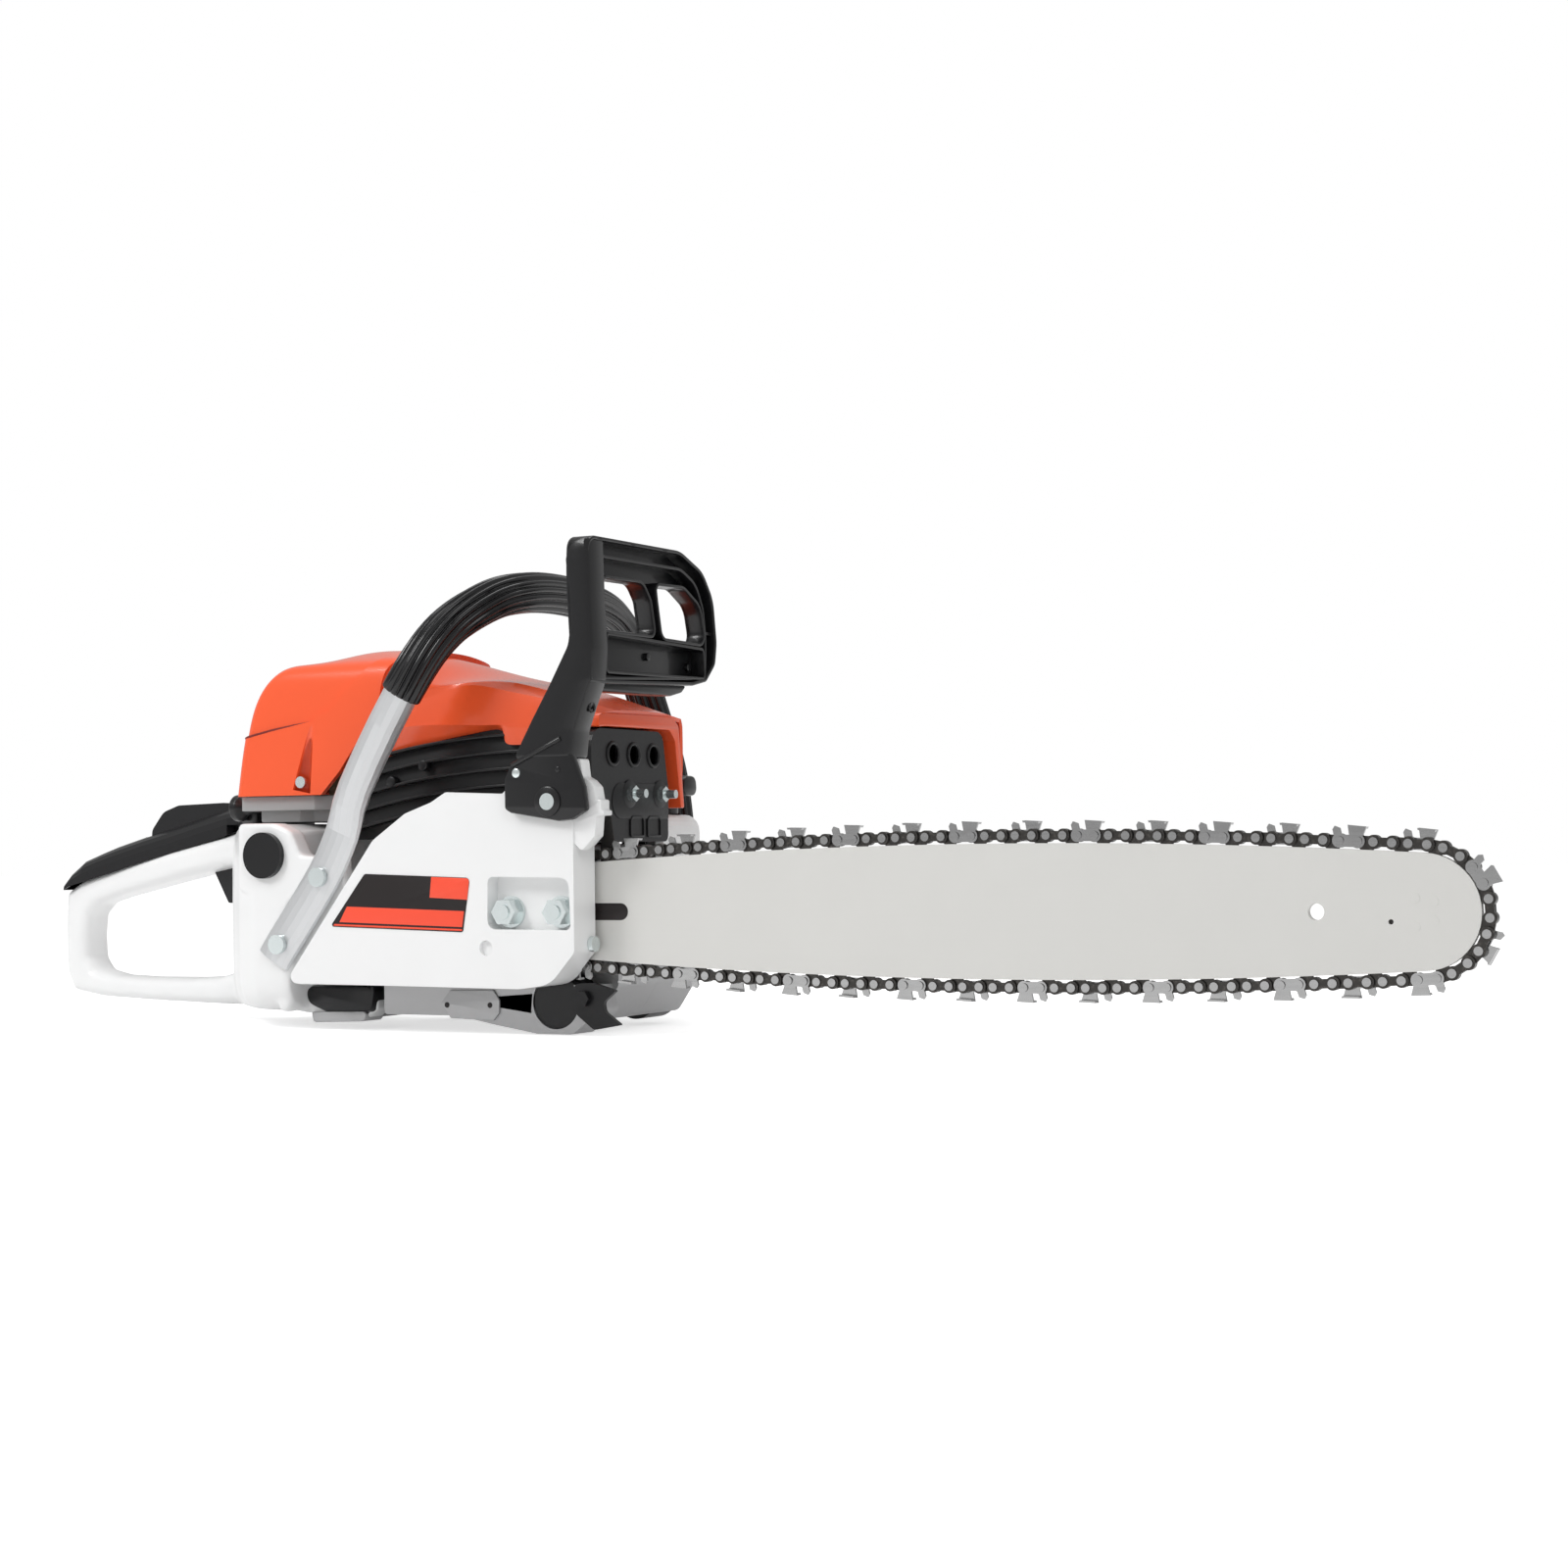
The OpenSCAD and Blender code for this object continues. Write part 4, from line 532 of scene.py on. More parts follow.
def rounded(corners: Iterable[Corner], steps: int = 6) -> list[Vector]:
    """A closed flat outline with its corners cut to arcs.

    Args:
        corners: Place and radius of each corner, in millimetres.
        steps: Steps along an arc.

    Returns:
        The outline's points in metres.
    """
    given = list(corners)
    result: list[Vector] = []
    for i, (x, y, radius) in enumerate(given):
        here = Vector((x, y))
        to_last = (Vector(given[i - 1][:2]) - here).normalized()
        to_next = (Vector(given[(i + 1) % len(given)][:2]) - here).normalized()
        half = math.acos(max(-1.0, min(1.0, to_last.dot(to_next)))) / 2
        sweep = math.pi - 2 * half
        if radius < LEAST_RADIUS or sweep < LEAST_TURN:
            result.append(here * MM)
            continue
        centre = here + (to_last + to_next).normalized() * radius / math.sin(half)
        start = here + to_last * radius / math.tan(half) - centre
        end = here + to_next * radius / math.tan(half) - centre
        for k in range(steps + 1):
            f = k / steps
            arm = start * math.sin((1 - f) * sweep) + end * math.sin(f * sweep)
            result.append((centre + arm / math.sin(sweep)) * MM)
    return result


def inset(loop: Sequence[Vector], distance: float) -> list[Vector]:
    """Moves a closed outline inwards.

    Args:
        loop: The outline's points in metres.
        distance: Inward distance in millimetres; negative moves outwards.

    Returns:
        The moved outline.
    """
    area = sum(a.x * b.y - b.x * a.y for a, b in zip(loop, [*loop[1:], loop[0]]))
    side = 1 if area > 0 else -1
    moved = []
    for i, here in enumerate(loop):
        before = (here - loop[i - 1]).normalized()
        after = (loop[(i + 1) % len(loop)] - here).normalized()
        mean = (before + after).normalized()
        stretch = 1 / max(0.5, math.sqrt(max(0.0, (1 + before.dot(after)) / 2)))
        moved.append(here + Vector((-mean.y, mean.x)) * side * distance * MM * stretch)
    return moved


def flat(points: Iterable[tuple[float, float]]) -> list[Vector]:
    """An outline in metres from places in millimetres."""
    return [Vector(p) * MM for p in points]


def dense(loop: Sequence[Vector], step: float = 6.0) -> list[Vector]:
    """Adds points along an outline's long straight stretches.

    Args:
        loop: The outline's points in metres.
        step: Longest stretch left, in millimetres.

    Returns:
        The outline with more points.
    """
    result: list[Vector] = []
    for here, following in zip(loop, [*loop[1:], loop[0]]):
        parts = max(1, math.ceil((following - here).length / (step * MM)))
        result += [here.lerp(following, k / parts) for k in range(parts)]
    return result


class Plane(Enum):
    """The plane an outline is drawn in, with the axis it is extruded along."""

    XZ = "y"
    YZ = "x"
    XY = "z"

    def place(self, u: float, v: float, w: float) -> Vector:
        """A point in space.

        Args:
            u: First coordinate in the plane.
            v: Second coordinate in the plane.
            w: Coordinate along the extrusion.

        Returns:
            The point.
        """
        if self is Plane.XZ:
            return Vector((u, w, v))
        if self is Plane.YZ:
            return Vector((w, u, v))
        return Vector((u, v, w))


def curve_mesh(data: bpy.types.Curve) -> bmesh.types.BMesh:
    """Turns a curve into a mesh and removes the curve's object.

    Args:
        data: The curve.

    Returns:
        Its mesh.
    """
    draft = bpy.data.objects.new(data.name + "_draft", data)
    bpy.context.scene.collection.objects.link(draft)
    bpy.context.view_layer.update()
    made = bpy.data.meshes.new_from_object(draft.evaluated_get(bpy.context.evaluated_depsgraph_get()))
    bpy.data.objects.remove(draft)
    bm = bmesh.new()
    bm.from_mesh(made)
    bpy.data.meshes.remove(made)
    return bm


def slab(name: str, loops: Sequence[Sequence[Vector]], plane: Plane, low: float, high: float,
         edge: float = 0.6, shift: Callable[[Vector], Vector] | None = None) -> bpy.types.Object:
    """A flat plate with holes and rounded edges.

    Args:
        name: Name of the piece.
        loops: Outer outline and holes, in metres.
        plane: The plane of the outlines.
        low: Lower end of the thickness, in millimetres.
        high: Upper end of the thickness, in millimetres.
        edge: Radius of the rounded edges, in millimetres.
        shift: Moves a finished point, to bend the plate.

    Returns:
        The plate as a mesh object.
    """
    data = bpy.data.curves.new(name, "CURVE")
    data.dimensions = "2D"
    data.fill_mode = "BOTH"
    data.extrude = max(0.0, (high - low) / 2 - edge) * MM
    data.bevel_depth = edge * MM
    data.bevel_resolution = 1
    data.offset = -edge * MM
    for loop in loops:
        spline = data.splines.new("POLY")
        spline.points.add(len(loop) - 1)
        for point, value in zip(spline.points, loop):
            point.co = (value.x, value.y, 0, 1)
        spline.use_cyclic_u = True
    bm = curve_mesh(data)
    bmesh.ops.remove_doubles(bm, verts=bm.verts, dist=0.000001)
    middle = (low + high) / 2 * MM
    for vert in bm.verts:
        place = plane.place(vert.co.x, vert.co.y, vert.co.z + middle)
        vert.co = shift(place) if shift else place
    piece = mesh_piece(name, bm, smooth=True)
    sharpen(piece, SLAB_ANGLE)
    return piece


def sharpen(piece: bpy.types.Object, angle: float) -> None:
    """Marks edges sharper than an angle, so that the rest shades smooth.

    Args:
        piece: The piece.
        angle: The angle in degrees.
    """
    bm = bmesh.new()
    bm.from_mesh(piece.data)
    for line in bm.edges:
        if len(line.link_faces) == 2 and line.calc_face_angle(0) > math.radians(angle):
            line.smooth = False
    bm.to_mesh(piece.data)
    bm.free()


def joined(name: str, parts: Sequence[bpy.types.Object]) -> bpy.types.Object:
    """Makes one piece of several.

    Args:
        name: Name of the joined piece.
        parts: The parts, which are removed.

    Returns:
        The joined piece.
    """
    bm = bmesh.new()
    materials: list[bpy.types.Material] = []
    for part in parts:
        offset = len(bm.faces)
        bm.from_mesh(part.data)
        bm.faces.ensure_lookup_table()
        index = 0
        if part.data.materials:
            paint = part.data.materials[0]
            if paint not in materials:
                materials.append(paint)
            index = materials.index(paint)
        for face in bm.faces[offset:]:
            face.material_index = index
    mesh = bpy.data.meshes.new(name)
    bm.to_mesh(mesh)
    bm.free()
    for part in parts:
        bpy.data.objects.remove(part)
    for paint in materials:
        mesh.materials.append(paint)
    piece = bpy.data.objects.new(name, mesh)
    bpy.context.scene.collection.objects.link(piece)
    return piece


def cone(name: str, start: Point, thin: float, end: Point, wide: float, edge: float = 0.0,
         sides: int = 48, smooth: bool = False) -> bpy.types.Object:
    """A tapered round bar.

    Args:
        name: Name of the piece.
        start: Middle of one end, in millimetres.
        thin: Radius there.
        end: Middle of the other end, in millimetres.
        wide: Radius there.
        edge: Width of the rims' rounding in millimetres.
        sides: Number of sides.
        smooth: Whether its side shades smooth.

    Returns:
        The bar.
    """
    a, b = Vector(start) * MM, Vector(end) * MM
    bm = bmesh.new()
    bmesh.ops.create_cone(bm, cap_ends=True, segments=sides, radius1=thin * MM, radius2=wide * MM,
                          depth=(b - a).length)
    if edge > 0:
        rims = [line for line in bm.edges if line.calc_face_angle(0) > 1.0]
        bmesh.ops.bevel(bm, geom=rims, offset=edge * MM, segments=2, affect="EDGES", profile=0.5)
    turn = (b - a).to_track_quat("Z", "Y").to_matrix().to_4x4()
    bmesh.ops.transform(bm, matrix=Matrix.Translation((a + b) / 2) @ turn, verts=bm.verts)
    piece = mesh_piece(name, bm, smooth=smooth)
    if smooth:
        sharpen(piece, ROD_ANGLE)
    return piece


def rod(name: str, start: Point, end: Point, radius: float, edge: float = 0.4,
        sides: int = 40) -> bpy.types.Object:
    """A round bar with rounded rims.

    Args:
        name: Name of the piece.
        start: Middle of one end, in millimetres.
        end: Middle of the other end, in millimetres.
        radius: Radius in millimetres.
        edge: Width of the rims' rounding in millimetres.
        sides: Number of sides.

    Returns:
        The bar.
    """
    return cone(name, start, radius, end, radius, edge, sides, smooth=True)


def sweep(rings: Sequence[Sequence[Vector | Point]],
          closed: bool = True) -> tuple[bmesh.types.BMesh, list[list[bmesh.types.BMVert]]]:
    """Extrudes an outline through a row of sections.

    Args:
        rings: Sections with equal numbers of points, in millimetres.
        closed: Whether each section is a closed loop.

    Returns:
        The skin, and its points section by section.
    """
    bm = bmesh.new()
    row = [bm.verts.new(Vector(p) * MM) for p in rings[0]]
    grid = [row]

    def sides(points: Sequence[bmesh.types.BMVert]) -> zip:
        """Neighbours along a section."""
        return zip(points, [*points[1:], points[0]] if closed else points[1:])

    lines = [bm.edges.new(pair) for pair in sides(row)]
    for ring in rings[1:]:
        made = bmesh.ops.extrude_edge_only(bm, edges=lines)["geom"]
        fresh = {item for item in made if isinstance(item, bmesh.types.BMVert)}
        row = [next(line.other_vert(vert) for line in vert.link_edges if line.other_vert(vert) in fresh)
               for vert in row]
        for vert, place in zip(row, ring):
            vert.co = Vector(place) * MM
        grid.append(row)
        lines = [bm.edges.get(pair) for pair in sides(row)]
    bm.normal_update()
    return bm, grid


def skin(name: str, rings: Sequence[Sequence[Vector]]) -> bpy.types.Object:
    """Closes a row of rings to a solid.

    Args:
        name: Name of the piece.
        rings: Rings with equal numbers of points, in millimetres.

    Returns:
        The solid.
    """
    bm, _ = sweep(rings)
    bmesh.ops.holes_fill(bm, edges=[line for line in bm.edges if line.is_boundary], sides=0)
    return mesh_piece(name, bm, smooth=True)


def ring_lip(name: str, plane: Plane, middle: Point, radius: float, thick: float) -> bpy.types.Object:
    """A rolled lip round a hole or a plug.

    Args:
        name: Name of the piece.
        plane: The plane of the lip.
        middle: Its middle: two places in the plane and the one across, in millimetres.
        radius: Radius of its middle line.
        thick: Radius of its section.

    Returns:
        The lip.
    """
    bm = bmesh.new()
    bmesh.ops.create_circle(bm, segments=LIP_SIDES, radius=thick * MM)
    bmesh.ops.rotate(bm, verts=bm.verts, matrix=Matrix.Rotation(math.pi / 2, 3, "X"))
    bmesh.ops.translate(bm, verts=bm.verts, vec=(radius * MM, 0, 0))
    bmesh.ops.spin(bm, geom=[*bm.verts, *bm.edges], cent=(0, 0, 0), axis=(0, 0, 1), angle=math.tau,
                   steps=LIP_STEPS, use_merge=True)
    u, v, w = (value * MM for value in middle)
    for vert in bm.verts:
        vert.co = plane.place(u + vert.co.x, v + vert.co.y, w + vert.co.z)
    bm.normal_update()
    return mesh_piece(name, bm, smooth=True)


def bake(piece: bpy.types.Object) -> None:
    """Applies a piece's modifiers to its mesh.

    Args:
        piece: The piece.
    """
    bpy.context.view_layer.update()
    made = bpy.data.meshes.new_from_object(piece.evaluated_get(bpy.context.evaluated_depsgraph_get()))
    piece.modifiers.clear()
    old = piece.data
    made.name = old.name
    piece.data = made
    bpy.data.meshes.remove(old)


def carve(piece: bpy.types.Object, tools: Sequence[bpy.types.Object], joining: bool = False) -> None:
    """Cuts tools out of a piece, or joins them to it, and removes them.

    Args:
        piece: The piece.
        tools: The cutting shapes.
        joining: Whether to join in place of cutting.
    """
    for tool in tools:
        cut = piece.modifiers.new("cut", "BOOLEAN")
        cut.operation = "UNION" if joining else "DIFFERENCE"
        cut.solver = "EXACT"
        cut.object = tool
    bake(piece)
    for tool in tools:
        bpy.data.objects.remove(tool)


def through(keys: Sequence[tuple[float, float]], x: float) -> float:
    """A smooth value between keys.

    Args:
        keys: Places and values, in rising order of place.
        x: Where the value is wanted.

    Returns:
        The value, eased between the keys on both sides.
    """
    if x <= keys[0][0]:
        return keys[0][1]
    for i in range(len(keys) - 1):
        (x0, v0), (x1, v1) = keys[i], keys[i + 1]
        if x <= x1:
            before = keys[max(i - 1, 0)]
            after = keys[min(i + 2, len(keys) - 1)]
            leave = (v1 - before[1]) / (x1 - before[0])
            arrive = (after[1] - v0) / (after[0] - x0)
            t, span = (x - x0) / (x1 - x0), x1 - x0
            return ((2 * t**3 - 3 * t**2 + 1) * v0 + (t**3 - 2 * t**2 + t) * span * leave
                    + (3 * t**2 - 2 * t**3) * v1 + (t**3 - t**2) * span * arrive)
    return keys[-1][1]


# ---------------------------------------------------------------- the saw


CAD_FINISH: dict[Finish, tuple[str, ...]] = {
    ORANGE: ("filter_cover", "cylinder_cover"),
    WHITE: ("rear_handle", "side_cover", "starter_housing"),
    BLACK: ("grip_cover", "throttle_trigger", "lockout_lever", "fuel_cap", "oil_cap", "hand_guard",
            "starter_handle", "choke_knob", "starter_pulley", "ignition_coil", "oil_pump"),
    GREY: ("air_box",),
    RED: ("stop_switch",),
    RUBBER: ("av_buffers", "handle_grip", "intake_boot", "plug_lead"),
    TUBE: ("front_handle", "carburetor", "flywheel"),
    CASE: ("crankcase_right", "crankcase_left"),
    STEEL: ("crankshaft", "crank_bearings", "rod_pins", "connecting_rod"),
    ZINC: ("case_screws", "handle_screws", "bar_studs", "bar_nuts", "tension_screw", "muffler_nuts",
           "pivot_pins"),
    BAR: ("guide_bar", "bar_rivets"),
    CHAIN: ("drive_links", "tie_straps"),
    CHROME: ("cutters", "chain_rivets"),
    HOT: ("muffler_body", "muffler_cover", "engine_cylinder", "bumper_spikes"),
    DARK: ("brake_band", "inner_plate", "clutch_drum", "clutch_hub", "clutch_shoes", "nose_sprocket",
           "recoil_spring"),
    ALLOY: ("piston",),
    FELT: ("air_filter",),
    CORD: ("starter_rope",),
    PRINT: ("cover_label",),
    CERAMIC: ("spark_plug",),
}


SOFT_EDGES: dict[str, float] = {"side_cover": 1.2, "muffler_cover": 2.4, "starter_housing": 1.2,
                                "muffler_body": 1.5}


def put_on(piece: bpy.types.Object, paint: Paint, finish: Finish, body: str = "saw",
           node: str = "") -> None:
    """Paints a piece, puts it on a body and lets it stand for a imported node.

    Args:
        piece: The piece.
        paint: The materials.
        finish: Its finish.
        body: The body it rides on.
        node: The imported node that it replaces, if any.
    """
    piece.data.materials.clear()
    piece.data.materials.append(paint.get(finish))
    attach(piece, body)
    if node:
        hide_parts(node)
    log.info("%s: %s", piece.name, finish.name)


@dataclass(frozen=True)
class Level:
    """One height of the rear hood, in millimetres.

    Args:
        rear: How far the level lies in from the rear.
        side: How far it lies in from the sides.
        z_rear: Its height at the rear.
        z_side: Its height at the sides.
        radius: Radius of its corners.
        swell: Share of the middle's rise that it takes.
    """

    rear: float
    side: float
    z_rear: float
    z_side: float
    radius: float
    swell: float = 0.0


@dataclass
class Hood:
    """The two orange covers over the filter and the cylinder, in millimetres.

    Args:
        wall: Thickness of the covers.
        step: How far the skirt below the seam stands out.
        rear_x: X of the rear face.
        reach: Y of the right and left sides.
        front_x: X of the rear cover's front at its foot and above it.
        levels: Heights of the rear cover, from the foot up.
        rise: Rise of its middle along X.
        seam: Height of the seam along X.
        edge: The rear cover's slanted front edge, X and Z.
        stations: Sections of the front cover: X at the foot and at the crown.
        low: Its lower edge along X.
        side: Its reach to the right along X.
        left: Its reach to the left.
        flare: Height of its widest line.
        ridge: Height of its side crease.
        shoulder: Reach of its upper crease, as a share of the side's.
        shoulder_z: Height of the upper crease.
        crown: Height of its middle.
        notch: X between which the lower edge is notched.
        notch_z: Height of the notch.
        boss: Block behind the screw's scoop: X, Z and corner radius.
        frame_x: X of the front frame's back and front.
        outline: The front frame: Y, Z and corner radius.
    """

    wall: float = 2.4
    step: float = 1.1
    rear_x: float = -161.4
    reach: tuple[float, float] = (-51.0, 56.0)
    front_x: tuple[float, float] = (-58.0, -44.0)
    levels: tuple[Level, ...] = (
        Level(1.6, 0, 134.4, 134.4, 6), Level(3.2, 0.1, 146, 146, 6), Level(4.8, 0.2, 158, 159, 6.5),
        Level(6.5, 0.4, 168.5, 172, 7.5), Level(8.0, 0.7, 177.5, 184, 9), Level(10.4, 1.1, 186, 194, 11),
        Level(14.0, 2.0, 194.6, 202.4, 14), Level(18.2, 3.8, 202.2, 207.6, 17),
        Level(22.4, 7.2, 207.6, 210.6, 18, 0.05), Level(27, 13, 210.6, 211.6, 17, 0.2),
        Level(33, 20, 211.6, 211.7, 15, 0.45), Level(41, 29, 211.7, 211.7, 12, 0.75),
        Level(50, 40, 211.7, 211.7, 8, 0.95), Level(58, 50, 211.7, 211.7, 3, 1.0))
    rise: Keys = (
        (-126, 0), (-110, 1.6), (-100, 5.6), (-90, 8), (-76, 8.6), (-58, 7), (-40, 4.4))
    seam: Keys = ((-175, 165), (-153.8, 168.8), (-134, 172.8), (-103.4, 177.6))
    edge: Keys = (
        (-100.5, 130), (-99.5, 132.5), (-84.4, 147.9), (-71.5, 164.9), (-58, 186), (-48, 212))
    stations: Keys = (
        (-84, -70), (-76, -62), (-66, -52), (-56, -42), (-46, -32), (-36, -22), (-26, -12), (-15, -3),
        (-5, 6), (5, 14), (15, 22), (25.6, 31), (26.4, 31.8), (36, 40), (46, 49), (58, 60), (72, 73),
        (88, 88))
    low: Keys = (
        (-84, 134.4), (-76, 139), (-66, 145), (-54, 152.8), (-44, 159), (-15, 164.4), (12, 168.2),
        (25.8, 169.6), (26, 160), (48, 160), (58, 167.5), (88, 168.4))
    side: Keys = (
        (-84, 47.4), (-66, 48), (-44, 50.6), (20, 50.6), (60, 49), (88, 48.3))
    left: Keys = ((-84, 54), (-66, 55.6), (40, 56), (70, 51), (88, 47.4))
    flare: Keys = (
        (-84, 158), (-60, 168), (-36, 172.5), (-10, 172.4), (20, 171.2), (50, 169.6), (88, 169))
    ridge: Keys = (
        (-76, 176), (-56, 181), (-40, 185), (-27, 188), (-12, 192), (5, 195), (31, 190), (55, 184.8),
        (88, 176.2))
    shoulder: Keys = (
        (-76, 0.96), (-40, 0.96), (-12, 0.95), (5, 0.93), (24, 0.8), (44, 0.7), (70, 0.62), (88, 0.6))
    shoulder_z: Keys = (
        (-76, 190), (-40, 192), (-12, 195), (5, 196.4), (24, 196.2), (44, 191.6), (70, 184), (88, 178.4))
    crown: Keys = (
        (-70, 219.4), (-55, 218), (-40, 215.2), (-17, 209), (5, 202.6), (24, 197.8), (44, 193), (60, 188),
        (88, 179))
    notch: tuple[float, float] = (26.0, 50.0)
    notch_z: float = 160.0
    boss: Corners = ((-119, 134.5, 1), (-119, 168, 4), (-107, 180, 3), (-97, 182, 2), (-97, 134.5, 1))
    frame_x: tuple[float, float] = (70.0, 88.8)
    outline: Corners = (
        (-48.6, 168.6, 1), (-48.6, 176.6, 4), (34.1, 177, 4), (41.6, 171.9, 4), (47.4, 124.4, 1),
        (43.4, 124.4, 1), (37, 163, 3), (31, 169.2, 4), (-40.4, 169.2, 2))

    def ring(self, level: Level, lift: float) -> list[Point]:
        """One loop of the rear hood, open at the front.

        Args:
            level: The level wanted.
            lift: Distance of the loop outwards in millimetres.

        Returns:
            Points from the right side's front round the rear to the left side's front.
        """
        right, left = self.reach[0] - lift + level.side, self.reach[1] + lift - level.side
        rear, r = self.rear_x - lift + level.rear, level.radius
        front = self.front_x[0] + (self.front_x[1] - self.front_x[0]) * min(1.0, level.side / 8)
        points: list[Point] = []
        for i in range(6):
            points.append((front + (rear + r - front) * i / 6, right, 0.0))
        for i in range(7):
            turn = math.radians(15 * i)
            points.append((rear + r - r * math.sin(turn), right + r - r * math.cos(turn), i / 6))
        for i in range(1, 6):
            points.append((rear, right + r + (left - right - 2 * r) * i / 6, 1.0))
        for i in range(7):
            turn = math.radians(15 * i)
            points.append((rear + r - r * math.cos(turn), left - r + r * math.sin(turn), 1 - i / 6))
        for i in range(1, 7):
            points.append((rear + r + (front - rear - r) * i / 6, left, 0.0))
        done = []
        for x, y, share in points:
            share = share * share * (3 - 2 * share)
            z = level.z_side + (level.z_rear - level.z_side) * share
            z += level.swell * through(self.rise, x) + (lift if level.side > 3 else 0)
            done.append((x, y, z))
        return done

    def shell(self, name: str, lift: float) -> bpy.types.Object:
        """The rear hood's skin with its wall.

        Args:
            name: Name of the piece.
            lift: Distance of the skin outwards in millimetres.

        Returns:
            The shell as a plain mesh.
        """
        bm, grid = sweep([self.ring(level, lift) for level in self.levels], closed=False)
        top = grid[-1]
        for i in range(len(top) // 2):
            other = len(top) - 1 - i
            if other - i > 2:
                bm.faces.new((top[i], top[i + 1], top[other - 1], top[other]))
            elif other - i == 2:
                bm.faces.new((top[i], top[i + 1], top[other]))
        piece = mesh_piece(name, bm, smooth=True)
        self.thicken(piece, 2)
        return piece

    def thicken(self, piece: bpy.types.Object, levels: int) -> None:
        """Smooths a skin and gives it its wall.

        Args:
            piece: The skin.
            levels: Times that it is divided.
        """
        sub = piece.modifiers.new("smooth", "SUBSURF")
        sub.levels = sub.render_levels = levels
        wall = piece.modifiers.new("wall", "SOLIDIFY")
        wall.thickness = self.wall * MM
        wall.offset = -1
        bake(piece)

    def station(self, foot: float, top: float) -> list[Point]:
        """A section of the front cover.

        Args:
            foot: X of its lower edge.
            top: X of its crown.

        Returns:
            Points from the right edge over the crown to the left edge, in millimetres.
        """
        low = self.notch_z if self.notch[0] < foot < self.notch[1] else through(self.low, foot)
        flare = max(low + 2, through(self.flare, foot))
        side, left = through(self.side, foot), through(self.left, foot)
        middle = foot + (top - foot) * 0.4
        ridge, crown = through(self.ridge, middle), through(self.crown, top)
        share, height = through(self.shoulder, middle), through(self.shoulder_z, middle)
        tuck = 5.5 if foot < self.notch[0] else 0.6

        def half(reach: float, sign: int, base: float, turn: float) -> list[Point]:
            """One side of the section, from its edge up.

            Args:
                reach: How far the side stands out.
                sign: 1 to the left, -1 to the right.
                base: Height of the lower edge.
                turn: How far the lower edge is turned in.

            Returns:
                Its places.
            """
            rows = [(0.0, reach - turn, base), (0.05, reach, flare),
                    (0.2, reach - 0.4, flare + 0.35 * (ridge - flare)),
                    (0.32, reach - 1.2, flare + 0.75 * (ridge - flare)), (0.4, reach - 2, ridge),
                    (0.5, reach * share, height)]
            for up, y in ((0.35, 0.78), (0.68, 0.54), (0.9, 0.28)):
                rows.append((0.5 + 0.45 * up, reach * share * y, height + (crown - height) * up))
            return [(foot + (top - foot) * part, sign * y, z) for part, y, z in rows]

        crest = [(top, (left - side) / 2, crown)]
        return half(side, -1, low, tuck) + crest + half(left, 1, 124.5, 0.0)[::-1]

    def front(self) -> bpy.types.Object:
        """The front cover with its sharp creases.

        Returns:
            The cover.
        """
        bm, grid = sweep([self.station(*place) for place in self.stations], closed=False)
        last = len(grid[0]) - 1
        crease = bm.edges.layers.float.new("crease_edge")
        for first, second in zip(grid, grid[1:]):
            for i in (0, 1, 4, 5, last - 5, last - 4, last):
                bm.edges.get((first[i], second[i]))[crease] = 1.0
        piece = mesh_piece("hood_front", bm, smooth=True)
        self.thicken(piece, 3)
        sharpen(piece, 16)
        return piece

    def rear(self) -> bpy.types.Object:
        """The rear cover: an upper skin, and a skirt that stands proud below the seam.

        Returns:
            The cover.
        """
        upper, skirt = self.shell("hood_rear", 0.0), self.shell("skirt", self.step)
        boss = rounded(self.boss)
        for piece, low in ((upper, -49.4), (skirt, -50.6)):
            carve(piece, [slab("boss", [boss], Plane.XZ, low, -44.5, 0)], joining=True)
        above = flat([*self.seam, (-101, 181), (-92, 183), (-80, 196), (-58, 215), (-40, 260), (-175, 260)])
        carve(skirt, [slab("above", [above], Plane.XZ, -80, 90, 0)])
        ahead = flat([*self.edge, (20, 212), (20, 120), (-100.5, 120)])
        for piece in (upper, skirt):
            carve(piece, [slab("ahead", [ahead], Plane.XZ, -80, -44, 0)])
        for piece in (skirt, upper):
            carve(piece, [cone("scoop", (-103.5, -53.6, 178), 1.6, (-111.5, -53.0, 136.5), 6.4)])
        rear = joined("hood_rear", [upper, skirt])
        sharpen(rear, 28)
        return rear

    def line(self) -> bpy.types.Object:
        """A dark bead along the joint above the skirt, painted as the shadow in its step.

        Returns:
            A thin bead of painted shadow that fades out beside the screw.
        """
        rings = [self.ring(level, self.step * 0.7) for level in self.levels[:6]]
        places = []
        for i in range(3, 26):
            column = [ring[i] for ring in rings]
            for a, b in zip(column, column[1:]):
                under, over = a[2] - through(self.seam, a[0]), b[2] - through(self.seam, b[0])
                if under <= 0 < over:
                    places.append(Vector(a).lerp(Vector(b), under / (under - over)))
        data = bpy.data.curves.new("seam", "CURVE")
        data.dimensions = "3D"
        data.bevel_depth = 0.75 * MM
        data.bevel_resolution = 2
        spline = data.splines.new("POLY")
        spline.points.add(len(places) - 1)
        for i, (point, place) in enumerate(zip(spline.points, places)):
            point.co = (*(place * MM), 1)
            point.radius = min(1.0, 0.25 + i / 3)
        return mesh_piece("hood_seam_shadow", curve_mesh(data), smooth=True)

    def build(self, paint: Paint) -> None:
        """Makes both covers, the front frame and the painted shadow along the seam.

        Args:
            paint: The materials.
        """
        put_on(self.rear(), paint, ORANGE, node="filter_cover")
        put_on(self.front(), paint, ORANGE, node="cylinder_cover")
        self.frame(paint)
        # The bead's dark orange is painted shadow in the seam's step.
        put_on(self.line(), paint, SEAM_SHADOW)

